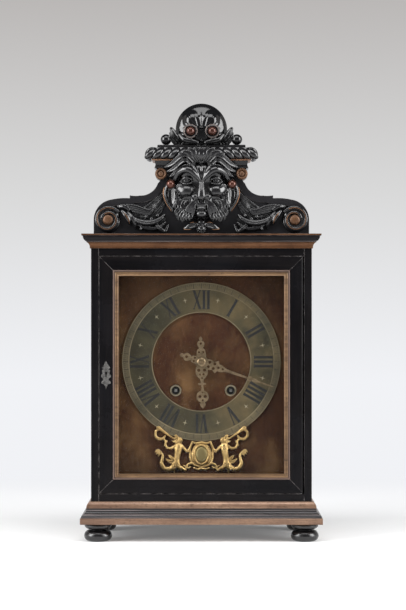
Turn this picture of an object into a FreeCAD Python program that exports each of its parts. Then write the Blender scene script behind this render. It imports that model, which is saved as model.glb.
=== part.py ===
"""Religieuse clock: an ebonised case with a carved crest, a glazed door, a velvet dial and a two-train movement.

Millimetres. +Z is up, the front faces -Y, and the origin is on the floor under the middle of the clock.
"""
import FreeCAD, Part
import math
import os
import re

import Sketcher

Vector = FreeCAD.Vector
Placement = FreeCAD.Placement
Rotation = FreeCAD.Rotation

# Driving dimensions, in millimetres, degrees or counts
SIZES = [
    # Case
    ("case_width", 276.0),
    ("case_depth", 130.0),
    ("case_height", 316.5),
    ("board_thick", 9.5),
    ("foot_height", 22.5),
    ("foot_radius", 17.5),
    ("foot_neck", 8.5),
    ("foot_inset", 8.4),
    ("plinth_height", 27.5),
    ("plinth_overhang", 13.0),
    ("plinth_band", 7.5),
    ("moulding_depth", 14.0),
    ("base_panel_thick", 12.0),
    ("cornice_height", 18.0),
    ("cornice_overhang", 11.4),
    ("cornice_band", 7.5),
    # Front and rear doors
    ("door_thick", 18.0),
    ("door_gap", 0.6),
    ("stile_width", 17.4),
    ("bead_width", 6.9),
    ("bead_proud", 1.6),
    ("bead_depth", 5.5),
    ("glass_thick", 2.0),
    ("pivot_inset", 3.5),
    ("pivot_radius", 1.5),
    ("pivot_length", 5.0),
    ("running_clearance", 0.05),
    ("rear_door_thick", 9.5),
    ("rear_door_recess", 3.0),
    ("latch_height", 150.0),
    ("latch_tongue", 14.0),
    ("latch_radius", 3.0),
    ("latch_knob_radius", 6.5),
    ("lock_height", 158.0),
    ("lock_case_height", 40.0),
    ("lock_case_width", 13.0),
    ("lock_case_depth", 7.0),
    ("bolt_height", 8.0),
    ("bolt_thick", 3.0),
    ("bolt_travel", 4.0),
    ("escutcheon_height", 36.0),
    ("escutcheon_width", 12.4),
    ("escutcheon_thick", 0.8),
    ("keyhole_radius", 1.7),
    # Dial and hands
    ("dial_gap", 6.5),
    ("dial_rise", 174.0),
    ("velvet_thick", 1.5),
    ("dial_plate_thick", 2.5),
    ("batten_width", 9.0),
    ("ring_outer", 100.0),
    ("ring_inner", 62.0),
    ("ring_thick", 2.0),
    ("collet_outer", 7.2),
    ("winding_hole", 5.4),
    ("collet_thick", 1.0),
    ("hand_thick", 1.2),
    ("hand_step", 3.0),
    ("hour_hand_length", 58.9),
    ("minute_hand_length", 96.4),
    ("hour_hand_angle", 178.0),
    ("minute_hand_angle", 109.2),
    ("mount_width", 122.0),
    ("mount_height", 58.0),
    ("mount_drop", 12.5),
    # Movement
    ("motion_gap", 12.0),
    ("plate_thick", 2.5),
    ("plate_gap", 42.0),
    ("plate_half_width", 78.0),
    ("plate_top", 76.0),
    ("plate_bottom", 76.0),
    ("pillar_inset", 8.0),
    ("pillar_radius", 5.0),
    ("arbor_radius", 2.0),
    ("arbor_pivot", 1.2),
    ("end_shake", 0.2),
    ("wheel_thick", 2.0),
    ("pinion_length", 4.5),
    ("going_arbor_x", 37.0),
    ("strike_arbor_x", -32.5),
    ("barrel_drop", 36.5),
    ("barrel_radius", 26.0),
    ("barrel_length", 24.0),
    ("barrel_arbor", 4.0),
    ("winding_square", 4.5),
    ("ratchet_radius", 12.0),
    ("great_module", 0.86),
    ("great_teeth", 72),
    ("second_leaves", 10),
    ("second_teeth", 64),
    ("centre_leaves", 8),
    ("centre_module", 0.7),
    ("centre_teeth", 60),
    ("third_leaves", 8),
    ("third_module", 0.65),
    ("third_teeth", 56),
    ("escape_leaves", 8),
    ("escape_teeth", 30),
    ("escape_radius", 14.0),
    ("pallet_rise", 20.0),
    ("pallet_clearance", 1.2),
    ("pin_wheel_teeth", 60),
    ("pin_wheel_module", 0.7),
    ("fly_leaves", 8),
    ("going_second_angle", 93.0),
    ("strike_second_angle", 96.0),
    ("fly_angle", 75.0),
    ("motion_angle", 45.0),
    ("cannon_leaves", 12),
    ("minute_wheel_teeth", 48),
    ("minute_wheel_leaves", 12),
    ("hour_wheel_teeth", 36),
    ("motion_module", 0.8),
    ("centre_arbor", 2.5),
    ("cannon_radius", 3.6),
    ("hour_pipe_radius", 5.0),
    ("bell_radius", 27.0),
    ("bell_height", 24.0),
    ("bell_x", -20.0),
    ("bell_wall", 2.0),
    ("bell_lift", 6.0),
    ("hammer_x", -55.0),
    ("hammer_rise", 36.0),
    ("hammer_head", 5.0),
    ("pendulum_length", 148.0),
    ("bob_radius", 17.0),
    ("bob_thick", 9.0),
    ("rod_radius", 1.5),
    # Crest
    ("crest_half_width", 135.5),
    ("crest_thick", 22.0),
    ("crest_setback", 13.5),
    ("crest_shoulder", 45.4),
    ("crest_height", 83.0),
    ("border_width", 8.5),
    ("border_proud", 1.6),
    ("cap_half_width", 70.5),
    ("frieze_height", 11.2),
    ("gadroon_height", 14.5),
    ("gadroon_lobes", 12),
    ("gadroon_groove", 1.3),
    ("gadroon_lean", 20.0),
    ("slab_half_width", 55.0),
    ("slab_height", 4.0),
    ("shell_radius", 31.2),
    ("shell_height", 53.0),
    ("shell_depth", 17.0),
    ("shell_grooves", 9),
    ("shell_groove", 1.2),
    ("scroll_radius", 15.6),
    ("scroll_depth", 9.0),
    ("mask_depth", 21.0),
    ("mask_half_width", 47.0),
    ("mask_height", 96.0),
]

doc = FreeCAD.newDocument("religieuse_clock")
sheet = doc.addObject("Spreadsheet::Sheet", "sizes")
for row, (alias, number) in enumerate(SIZES, start=1):
    sheet.set(f"A{row}", alias)
    sheet.set(f"B{row}", str(number))
    sheet.setAlias(f"B{row}", alias)
doc.recompute()

ALIASES = {alias for alias, _ in SIZES}
WORD = re.compile(r"[A-Za-z_][A-Za-z_0-9]*")
sub_parts = []


# Values and expressions
def bound(expression):
    """The expression with every size alias pointed at the spreadsheet."""
    return WORD.sub(lambda w: f"sizes.{w.group()}" if w.group() in ALIASES else w.group(), str(expression))


def value(expression):
    """The number that an expression on the sizes gives."""
    return float(sheet.evalExpression(str(expression)))


def bind(made, **expressions):
    """Binds properties of a document object to expressions on the sizes."""
    for name, expression in expressions.items():
        made.setExpression(name, bound(expression))
    return made


def place(made, x, y, z):
    """Binds an object's position to three expressions."""
    for axis, expression in zip("xyz", (x, y, z)):
        made.setExpression(f"Placement.Base.{axis}", bound(expression))
    return made


def keep(made, label):
    """Lists an object as a finished sub-part under its label."""
    made.Label = label
    sub_parts.append(made)
    return made


# Solids from primitives and booleans
def board(name, x, y, z):
    """A rectangular board between the (low, high) expressions of each axis."""
    made = doc.addObject("Part::Box", name)
    for side, (low, high) in zip(("Length", "Width", "Height"), (x, y, z)):
        made.setExpression(side, bound(f"({high}) - ({low})"))
    return place(made, x[0], y[0], z[0])


AXIS_TURN = {
    "x": Rotation(Vector(0, 1, 0), 90),
    "y": Rotation(Vector(1, 0, 0), -90),
    "z": Rotation(),
}


def rod(name, radius, start, length, axis="z"):
    """A round bar from a start point along an axis."""
    made = bind(doc.addObject("Part::Cylinder", name), Radius=radius, Height=length)
    made.Placement = Placement(Vector(), AXIS_TURN[axis])
    return place(made, *start)


def fuse(name, *pieces):
    made = doc.addObject("Part::MultiFuse", name)
    made.Shapes = list(pieces)
    return made


def cut(name, base, *tools):
    made = doc.addObject("Part::Cut", name)
    made.Base = base
    made.Tool = tools[0] if len(tools) == 1 else fuse(f"{name}_tools", *tools)
    return made


def group(name, *pieces):
    made = doc.addObject("Part::Compound", name)
    made.Links = list(pieces)
    return made


def shape_part(label, shape):
    """A sub-part whose shape is worked out directly."""
    made = doc.addObject("Part::Feature", label)
    made.Shape = shape
    return keep(made, label)


# Sketches
def new_sketch(body, plane, name):
    sketch = body.newObject("Sketcher::SketchObject", name)
    origin_plane = next(f for f in body.Origin.OriginFeatures if f.Role == plane)
    sketch.AttachmentSupport = (origin_plane, [""])
    sketch.MapMode = "FlatFace"
    return sketch


def pin_point(sketch, geometry, end, x, y):
    """Fixes a sketch point at two expressions."""
    for kind, expression in (("DistanceX", x), ("DistanceY", y)):
        index = sketch.addConstraint(Sketcher.Constraint(kind, -1, 1, geometry, end, value(expression)))
        sketch.setExpression(f"Constraints[{index}]", bound(expression))


def circle(sketch, x, y, radius):
    made = Part.Circle(Vector(value(x), value(y), 0), Vector(0, 0, 1), value(radius))
    geometry = sketch.addGeometry(made)
    pin_point(sketch, geometry, 3, x, y)
    index = sketch.addConstraint(Sketcher.Constraint("Radius", geometry, value(radius)))
    sketch.setExpression(f"Constraints[{index}]", bound(radius))


def outline(sketch, points, closed=True):
    """Draws lines and arcs through the points. A point is (x, y), or (x, y, sagitta) where an arc leads to it,
    bulging to the right of the way it runs."""
    ends = []
    count = len(points) if closed else len(points) - 1
    for i in range(count):
        first, last = points[i], points[(i + 1) % len(points)]
        a = Vector(value(first[0]), value(first[1]), 0)
        b = Vector(value(last[0]), value(last[1]), 0)
        if len(last) == 2:
            geometry = sketch.addGeometry(Part.LineSegment(a, b))
            ends.append((geometry, 1, 2))
            continue
        along = b - a
        right = Vector(along.y, -along.x, 0).normalize()
        bulge = value(last[2])
        middle = (a + b) * 0.5 + right * bulge
        geometry = sketch.addGeometry(Part.Arc(a, middle, b) if bulge > 0 else Part.Arc(b, middle, a))
        ends.append((geometry, 1, 2) if bulge > 0 else (geometry, 2, 1))
        chord = f"((({last[0]}) - ({first[0]}))^2 + (({last[1]}) - ({first[1]}))^2)"
        radius = f"({chord}/4 + ({last[2]})^2)/(2*abs({last[2]}))"
        index = sketch.addConstraint(Sketcher.Constraint("Radius", geometry, value(radius)))
        sketch.setExpression(f"Constraints[{index}]", bound(radius))
    for i, (geometry, start, end) in enumerate(ends):
        pin_point(sketch, geometry, start, *points[i][:2])
        if i + 1 < len(ends) or closed:
            following = ends[(i + 1) % len(ends)]
            sketch.addConstraint(Sketcher.Constraint("Coincident", geometry, end, following[0], following[1]))
        else:
            pin_point(sketch, geometry, end, *points[i + 1][:2])


def mirrored(points):
    """A closed outline from its right half, which runs upwards, reflected in the sketch's vertical axis."""
    whole = list(points)
    for i in range(len(points) - 1, -1, -1):
        came_by_arc = i + 1 < len(points) and len(points[i + 1]) == 3
        x, y = points[i][:2]
        if str(x) == "0" and i in (0, len(points) - 1):
            if i == 0 and came_by_arc:
                whole[0] = (x, y, points[1][2])
            continue
        whole.append((f"-({x})", y, points[i + 1][2]) if came_by_arc else (f"-({x})", y))
    return whole


# Solids from sketches
def plate(name, back, thickness, points, holes=()):
    """A flat piece parallel to the front, from y = back towards the front by its thickness."""
    body = doc.addObject("PartDesign::Body", name)
    sketch = new_sketch(body, "XZ_Plane", f"{name}_outline")
    outline(sketch, points)
    for hole in holes:
        circle(sketch, *hole)
    pad = body.newObject("PartDesign::Pad", f"{name}_pad")
    pad.Profile = sketch
    pad.setExpression("Length", bound(thickness))
    body.setExpression("Placement.Base.y", bound(back))
    return body


def rectangle(x, z):
    return [(x[0], z[0]), (x[1], z[0]), (x[1], z[1]), (x[0], z[1])]


def turned(name, points, plane="XZ_Plane"):
    """A piece turned about the sketch's vertical axis: Z on the XZ plane and Y on the XY plane."""
    body = doc.addObject("PartDesign::Body", name)
    sketch = new_sketch(body, plane, f"{name}_profile")
    outline(sketch, points)
    turn = body.newObject("PartDesign::Revolution", f"{name}_turn")
    turn.Profile = sketch
    turn.ReferenceAxis = (sketch, ["V_Axis"])
    turn.Angle = 360
    return body


def swept(name, path_plane, path, closed, profile_plane, profile, offset):
    """A moulding: a profile swept along a path with mitred corners. The offset moves the profile's plane."""
    body = doc.addObject("PartDesign::Body", name)
    spine = new_sketch(body, path_plane, f"{name}_path")
    outline(spine, path, closed)
    section = new_sketch(body, profile_plane, f"{name}_profile")
    section.setExpression("AttachmentOffset.Base.z", bound(offset))
    outline(section, profile)
    doc.recompute()
    pipe = body.newObject("PartDesign::AdditivePipe", f"{name}_sweep")
    pipe.Profile = section
    pipe.Spine = (spine, [f"Edge{i + 1}" for i in range(len(spine.Shape.Edges))])
    pipe.Transition = "Right corner"
    return body


# Planes shared by the pieces
HALF = "(case_width/2)"
FRONT = "((plinth_overhang - case_depth)/2)"
BACK = "((plinth_overhang + case_depth)/2)"
Z_CASE = "(foot_height + plinth_height)"
Z_CORNICE = f"({Z_CASE} + case_height)"
Z_CREST = f"({Z_CORNICE} + cornice_height)"
INNER = f"({HALF} - board_thick)"
Z_FLOOR = f"({Z_CASE} + board_thick)"
Z_CEILING = f"({Z_CORNICE} - board_thick)"
DOOR_HALF = f"({INNER} - door_gap)"
DOOR_LOW = f"({Z_FLOOR} + door_gap)"
DOOR_HIGH = f"({Z_CEILING} - door_gap)"
DOOR_BACK = f"({FRONT} + door_thick)"
REAR_FACE = f"({BACK} - rear_door_recess)"
VELVET = f"({DOOR_BACK} + dial_gap)"
DIAL_FRONT = f"({VELVET} + velvet_thick)"
DIAL_BACK = f"({DIAL_FRONT} + dial_plate_thick)"
PLATE_FRONT = f"({DIAL_BACK} + motion_gap)"
TRAIN_FRONT = f"({PLATE_FRONT} + plate_thick)"
TRAIN_BACK = f"({TRAIN_FRONT} + plate_gap)"
PLATE_BACK = f"({TRAIN_BACK} + plate_thick)"
DIAL_Z = f"({Z_CASE} + dial_rise)"
CREST_FACE = f"({FRONT} + crest_setback)"
SNUG = "(arbor_pivot + running_clearance)"


def polar(start, distance, angle):
    """A point (x, z) at a distance and an angle from another."""
    return (
        f"({start[0]} + {distance}*cos({angle}*1deg))",
        f"({start[1]} + {distance}*sin({angle}*1deg))",
    )


# Arbors of the movement, as (x, z)
CENTRE = ("0", DIAL_Z)
GOING = ("going_arbor_x", f"({DIAL_Z} - barrel_drop)")
STRIKE = ("strike_arbor_x", f"({DIAL_Z} - barrel_drop)")
GREAT_REACH = "(great_module*(great_teeth + second_leaves)/2)"
SECOND = polar(GOING, GREAT_REACH, "going_second_angle")
PIN_ARBOR = polar(STRIKE, GREAT_REACH, "strike_second_angle")
FLY_ARBOR = polar(PIN_ARBOR, "(pin_wheel_module*(pin_wheel_teeth + fly_leaves)/2)", "fly_angle")
THIRD = polar(CENTRE, "(centre_module*(centre_teeth + third_leaves)/2)", "90")
ESCAPE = polar(THIRD, "(third_module*(third_teeth + escape_leaves)/2)", "90")
PALLET = polar(ESCAPE, "pallet_rise", "90")
MOTION = polar(CENTRE, "(motion_module*(cannon_leaves + minute_wheel_teeth)/2)", "motion_angle")
HAMMER = ("hammer_x", f"({DIAL_Z} + hammer_rise)")


# Feet and plinth
def build_foot(name, x, y):
    foot = turned(name, [
        ("0", "0"),
        ("0.62*foot_radius", "0"),
        ("foot_radius", "0.29*foot_height", "0.11*foot_radius"),
        ("foot_neck", "0.61*foot_height", "0.16*foot_radius"),
        ("0.66*foot_radius", "0.67*foot_height"),
        ("0.96*foot_radius", "0.82*foot_height", "0.05*foot_radius"),
        ("0.84*foot_radius", "foot_height", "0.06*foot_radius"),
        ("0", "foot_height"),
    ])
    return place(foot, x, y, "0")


def build_feet():
    reach = f"({HALF} - foot_inset)"
    ends = (("front", f"{FRONT} + foot_inset"), ("rear", f"{BACK} - foot_radius"))
    sides = (("left", f"-{reach}"), ("right", reach))
    for end, y in ends:
        for side, x in sides:
            keep(build_foot(f"foot_{end}_{side}", x, y), f"foot_{end}_{side}")


def moulding(name, bottom, profile):
    """A moulding round the front and sides of the case. The profile gives (outward, up) from the case and bottom."""
    path = [(f"-{HALF}", BACK), (f"-{HALF}", FRONT), (HALF, FRONT), (HALF, BACK)]
    placed = [(f"-{HALF} - ({p[0]})", f"{bottom} + {p[1]}") + tuple(p[2:]) for p in profile]
    return swept(name, "XY_Plane", path, False, "XZ_Plane", placed, f"-{BACK}")


def build_plinth():
    keep(moulding("plinth_moulding", "foot_height", [
        ("-moulding_depth", "0"),
        ("plinth_overhang", "0"),
        ("plinth_overhang", "plinth_band"),
        ("plinth_overhang - 1.4", "plinth_band"),
        ("0.72*plinth_overhang", "plinth_band + 0.15*plinth_height", "-1.2"),
        ("0.66*plinth_overhang", "plinth_band + 0.15*plinth_height"),
        ("0.66*plinth_overhang", "plinth_band + 0.2*plinth_height"),
        ("0.45*plinth_overhang", "plinth_band + 0.37*plinth_height", "1.1"),
        ("0.42*plinth_overhang", "plinth_height - 8"),
        ("0.12*plinth_overhang", "plinth_height", "-1.3"),
        ("-moulding_depth", "plinth_height"),
    ]), "plinth_moulding")
    inner = f"({HALF} - moulding_depth)"
    panel = board("base_board", (f"-{inner}", inner), (f"{FRONT} + moulding_depth", BACK),
                  ("foot_height", "foot_height + base_panel_thick"))
    rail = board("base_rail", (f"-{inner}", inner), (f"{BACK} - base_panel_thick", BACK),
                 ("foot_height + base_panel_thick", Z_CASE))
    keep(fuse("base_panel", panel, rail), "base_panel")


# Carcass
DOOR_PIVOT = (f"({DOOR_HALF} - pivot_inset)", f"({FRONT} + pivot_inset)")
REAR_PIVOT = (f"-({DOOR_HALF} - pivot_inset)", f"({REAR_FACE} - pivot_inset)")
PINS = [
    (name, pivot, low)
    for name, pivot in (("door", DOOR_PIVOT), ("rear", REAR_PIVOT))
    for low in (f"({Z_FLOOR} - pivot_length)", f"({DOOR_HIGH} - pivot_length)")
]
PIN_SPAN = "(2*pivot_length + door_gap)"


def pivot_holes(name):
    return [rod(f"{name}_hole_{i}", "pivot_radius", (*pivot, low), PIN_SPAN) for i, (_, pivot, low) in enumerate(PINS)]


def build_carcass():
    depth = (FRONT, BACK)
    left = board("left_board", (f"-{HALF}", f"-{INNER}"), depth, (Z_CASE, Z_CORNICE))
    right = board("right_board", (INNER, HALF), depth, (Z_CASE, Z_CORNICE))
    floor = board("floor_board", (f"-{INNER}", INNER), depth, (Z_CASE, Z_FLOOR))
    ceiling = board("ceiling_board", (f"-{INNER}", INNER), depth, (Z_CEILING, Z_CORNICE))
    mortise = board("bolt_mortise", (f"-{INNER} - bolt_travel - door_gap", f"-{INNER} + 1"),
                    (f"{DOOR_BACK} - lock_case_depth/2 - bolt_thick/2 - 0.3",
                     f"{DOOR_BACK} - lock_case_depth/2 + bolt_thick/2 + 0.3"),
                    (f"{Z_CASE} + lock_height - bolt_height/2 - 0.3", f"{Z_CASE} + lock_height + bolt_height/2 + 0.3"))
    slot = board("latch_slot", (f"{INNER} - 1", f"{LATCH[0]} + latch_tongue + door_gap"),
                 (f"{REAR_FACE} - rear_door_thick - 3.1", f"{REAR_FACE} - rear_door_thick + 0.1"),
                 (f"{Z_CASE} + latch_height - latch_tongue", f"{Z_CASE} + latch_height + latch_tongue"))
    keep(cut("left_side", left, mortise), "left_side")
    keep(cut("right_side", right, slot), "right_side")
    keep(cut("bottom_board", floor, *pivot_holes("bottom")), "bottom_board")
    keep(cut("top_board", ceiling, *pivot_holes("top")), "top_board")
    pins = [rod(f"{name}_pivot_pin_{i}", "pivot_radius", (*pivot, low), PIN_SPAN)
            for i, (name, pivot, low) in enumerate(PINS)]
    keep(group("door_pivot_pins", *pins), "door_pivot_pins")


def build_cornice():
    keep(moulding("cornice_moulding", Z_CORNICE, [
        ("-moulding_depth", "0"),
        ("1.5", "0"),
        ("0.42*cornice_overhang", "cornice_band", "1.2"),
        ("0.42*cornice_overhang + 0.6", "cornice_band"),
        ("0.42*cornice_overhang + 0.6", "cornice_band + 0.9"),
        ("cornice_overhang - 1.8", "cornice_height - 2.6", "-1.3"),
        ("cornice_overhang", "cornice_height - 2.2"),
        ("cornice_overhang", "cornice_height"),
        ("-moulding_depth", "cornice_height"),
    ]), "cornice_moulding")
    inner = f"({HALF} - moulding_depth)"
    panel = board("cornice_top", (f"-{inner}", inner), (f"{FRONT} + moulding_depth", BACK),
                  (f"{Z_CREST} - board_thick", Z_CREST))
    rail = board("cornice_rail", (f"-{inner}", inner), (f"{BACK} - board_thick", BACK),
                 (Z_CORNICE, f"{Z_CREST} - board_thick"))
    keep(fuse("cornice_panel", panel, rail), "cornice_panel")


# Front door
FRAME_HALF = f"({DOOR_HALF} - stile_width)"
FRAME_LOW = f"({DOOR_LOW} + stile_width)"
FRAME_HIGH = f"({DOOR_HIGH} - stile_width)"
LOCK_Z = f"({Z_CASE} + lock_height)"
LOCK_X = f"(-{DOOR_HALF} + stile_width/2)"


def keyhole(name):
    """The tool that cuts a keyhole from the front of the door to its lock."""
    bow = rod(f"{name}_bow", "keyhole_radius", (LOCK_X, f"{FRONT} - 2", f"{LOCK_Z} + 1.5*keyhole_radius"),
              "door_thick - lock_case_depth + 2", "y")
    slit = board(f"{name}_slit", (f"{LOCK_X} - 0.5*keyhole_radius", f"{LOCK_X} + 0.5*keyhole_radius"),
                 (f"{FRONT} - 2", f"{DOOR_BACK} - lock_case_depth"),
                 (f"{LOCK_Z} - 1.6*keyhole_radius", f"{LOCK_Z} + 1.5*keyhole_radius"))
    return fuse(name, bow, slit)


def door_bores(member, door="door"):
    """The tools that bore a door's member for its pivot pins."""
    return [rod(f"{member}_bore_{i}", "pivot_radius + running_clearance", (*pivot, low), PIN_SPAN)
            for i, (name, pivot, low) in enumerate(PINS) if name == door]


def door_corner(member):
    """The tool that rounds the door's corner about its pivots, so that it turns without touching the case."""
    corner = board(f"{member}_corner", (DOOR_PIVOT[0], f"{INNER} + 1"), (f"{FRONT} - 1", DOOR_PIVOT[1]),
                   (Z_CASE, Z_CORNICE))
    core = rod(f"{member}_corner_core", "pivot_inset", (*DOOR_PIVOT, Z_CASE), "case_height")
    return cut(f"{member}_corner_cut", corner, core)


def build_door_frame():
    corners = {
        "outer_low_left": (f"-{DOOR_HALF}", DOOR_LOW),
        "outer_low_right": (DOOR_HALF, DOOR_LOW),
        "outer_high_right": (DOOR_HALF, DOOR_HIGH),
        "outer_high_left": (f"-{DOOR_HALF}", DOOR_HIGH),
        "inner_low_left": (f"-{FRAME_HALF}", FRAME_LOW),
        "inner_low_right": (FRAME_HALF, FRAME_LOW),
        "inner_high_right": (FRAME_HALF, FRAME_HIGH),
        "inner_high_left": (f"-{FRAME_HALF}", FRAME_HIGH),
    }

    def member(name, first, second):
        points = [corners[f"outer_{first}"], corners[f"outer_{second}"],
                  corners[f"inner_{second}"], corners[f"inner_{first}"]]
        return plate(name, DOOR_BACK, "door_thick", points)

    bottom = member("bottom_member", "low_left", "low_right")
    top = member("top_member", "high_right", "high_left")
    keep(cut("door_rail_bottom", bottom, door_corner("rail_bottom"), *door_bores("rail_bottom")), "door_rail_bottom")
    keep(cut("door_rail_top", top, door_corner("rail_top"), *door_bores("rail_top")), "door_rail_top")
    left = member("left_member", "high_left", "low_left")
    right = member("right_member", "low_right", "high_right")
    bolt_way = board("bolt_way", (f"-{DOOR_HALF} - 1", f"{LOCK_X}"),
                     (f"{DOOR_BACK} - lock_case_depth/2 - bolt_thick/2 - 0.1",
                      f"{DOOR_BACK} - lock_case_depth/2 + bolt_thick/2 + 0.1"),
                     (f"{LOCK_Z} - bolt_height/2 - 0.1", f"{LOCK_Z} + bolt_height/2 + 0.1"))
    lock_bed = board("lock_bed", (f"{LOCK_X} - lock_case_width/2", f"{LOCK_X} + lock_case_width/2"),
                     (f"{DOOR_BACK} - lock_case_depth", f"{DOOR_BACK} + 1"),
                     (f"{LOCK_Z} - lock_case_height/2", f"{LOCK_Z} + lock_case_height/2"))
    keep(cut("door_stile_left", left, bolt_way, lock_bed, keyhole("stile_keyhole")), "door_stile_left")
    keep(cut("door_stile_right", right, door_corner("stile_right"), *door_bores("stile_right")), "door_stile_right")


def round_pivot_edge(body, x, y):
    """Rounds the upright edge beside a door's pivots, so that the door turns without touching the case."""
    doc.recompute()
    pad = body.Tip
    wanted = Vector(value(x), value(y), 0)
    names = [f"Edge{i}" for i, edge in enumerate(pad.Shape.Edges, start=1)
             if math.hypot(edge.CenterOfMass.x - wanted.x, edge.CenterOfMass.y - wanted.y) < 1e-4]
    fillet = body.newObject("PartDesign::Fillet", f"{body.Name}_pivot_edge")
    fillet.Base = (pad, names)
    fillet.setExpression("Radius", bound("pivot_inset"))


def build_door_fittings():
    middle = f"(({FRAME_LOW} + {FRAME_HIGH})/2)"
    path = [(f"-{FRAME_HALF}", middle), (f"-{FRAME_HALF}", FRAME_LOW), (FRAME_HALF, FRAME_LOW),
            (FRAME_HALF, FRAME_HIGH), (f"-{FRAME_HALF}", FRAME_HIGH)]

    def across(inward, forward, *sagitta):
        return (f"-{FRAME_HALF} + {inward}", f"{FRONT} - ({forward})", *sagitta)

    profile = [
        across("0", "-bead_depth"),
        across("bead_width", "-bead_depth"),
        across("bead_width", "0"),
        across("0.28*bead_width", "0", "bead_proud"),
        across("0.28*bead_width", "-0.6"),
        across("0.18*bead_width", "-0.6"),
        across("0.18*bead_width", "0.5"),
        across("0", "0.5"),
    ]
    keep(swept("door_bead", "XZ_Plane", path, True, "XY_Plane", profile, middle), "door_bead")
    glass = board("door_glass", (f"-{FRAME_HALF}", FRAME_HALF),
                  (f"{FRONT} + bead_depth", f"{FRONT} + bead_depth + glass_thick"), (FRAME_LOW, FRAME_HIGH))
    keep(glass, "door_glass")
    build_escutcheon()
    cover = board("lock_cover", (f"{LOCK_X} - lock_case_width/2", f"{LOCK_X} + lock_case_width/2"),
                  (f"{DOOR_BACK} - lock_case_depth", DOOR_BACK),
                  (f"{LOCK_Z} - lock_case_height/2", f"{LOCK_Z} + lock_case_height/2"))
    bolt_room = board("bolt_room", (f"{LOCK_X} - lock_case_width", f"{LOCK_X} + lock_case_width/2 - 2"),
                      (f"{DOOR_BACK} - lock_case_depth/2 - bolt_thick/2 - 0.1",
                       f"{DOOR_BACK} - lock_case_depth/2 + bolt_thick/2 + 0.1"),
                      (f"{LOCK_Z} - bolt_height/2 - 0.1", f"{LOCK_Z} + bolt_height/2 + 0.1"))
    keep(cut("lock_case", cover, bolt_room), "lock_case")
    bolt = board("lock_bolt", (f"-{DOOR_HALF} + 0.2", f"{LOCK_X} + lock_case_width/2 - 3"),
                 (f"{DOOR_BACK} - lock_case_depth/2 - bolt_thick/2", f"{DOOR_BACK} - lock_case_depth/2 + bolt_thick/2"),
                 (f"{LOCK_Z} - bolt_height/2", f"{LOCK_Z} + bolt_height/2"))
    keep(bolt, "lock_bolt")


def build_escutcheon():
    def at(across, up, *sagitta):
        return (f"{across}*escutcheon_width/2" if across else "0", f"{up}*escutcheon_height/2", *sagitta)

    half = [
        at(0, -1),
        at(0.45, -0.62, "-0.4"),
        at(0.95, -0.56, "0.3"),
        at(0.55, -0.36, "0.5"),
        at(0.95, -0.14, "-0.8"),
        at(0.62, 0.12, "0.9"),
        at(0.8, 0.34, "0.4"),
        at(0.34, 0.4, "0.3"),
        at(0.86, 0.5, "0.2"),
        at(0, 1, "-0.4"),
    ]
    body = plate("escutcheon_plate", FRONT, "escutcheon_thick", mirrored(half))
    body.setExpression("Placement.Base.x", bound(LOCK_X))
    body.setExpression("Placement.Base.z", bound(LOCK_Z))
    keep(cut("escutcheon", body, keyhole("plate_keyhole")), "escutcheon")


# Rear door
LATCH = (f"({DOOR_HALF} - latch_tongue/2 - 1.5)", f"({Z_CASE} + latch_height)")


def build_rear_door():
    panel = plate("rear_panel", REAR_FACE, "rear_door_thick",
                  rectangle((f"-{DOOR_HALF}", DOOR_HALF), (DOOR_LOW, DOOR_HIGH)))
    round_pivot_edge(panel, f"-{DOOR_HALF}", "0")
    spindle_hole = rod("spindle_hole", "latch_radius + running_clearance",
                       (LATCH[0], f"{REAR_FACE} - rear_door_thick - 1", LATCH[1]), "rear_door_thick + 2", "y")
    keep(cut("rear_door", panel, *door_bores("rear", "rear"), spindle_hole), "rear_door")
    inside = f"({REAR_FACE} - rear_door_thick)"
    spindle = rod("latch_spindle", "latch_radius", (LATCH[0], f"{inside} - 2.5", LATCH[1]), "rear_door_thick + 3.5", "y")
    knob = rod("latch_knob", "latch_knob_radius", (LATCH[0], f"{REAR_FACE} + 0.2", LATCH[1]), "2.3", "y")
    tongue = board("latch_finger", (f"{LATCH[0]} - latch_radius", f"{LATCH[0]} + latch_radius"),
                   (f"{inside} - 2.7", f"{inside} - 0.2"),
                   (f"{LATCH[1]} - latch_radius", f"{LATCH[1]} + latch_tongue"))
    keep(fuse("rear_latch", spindle, knob, tongue), "rear_latch")


# Dial
def winding_holes(radius):
    return [(*GOING, radius), (*STRIKE, radius)]


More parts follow.
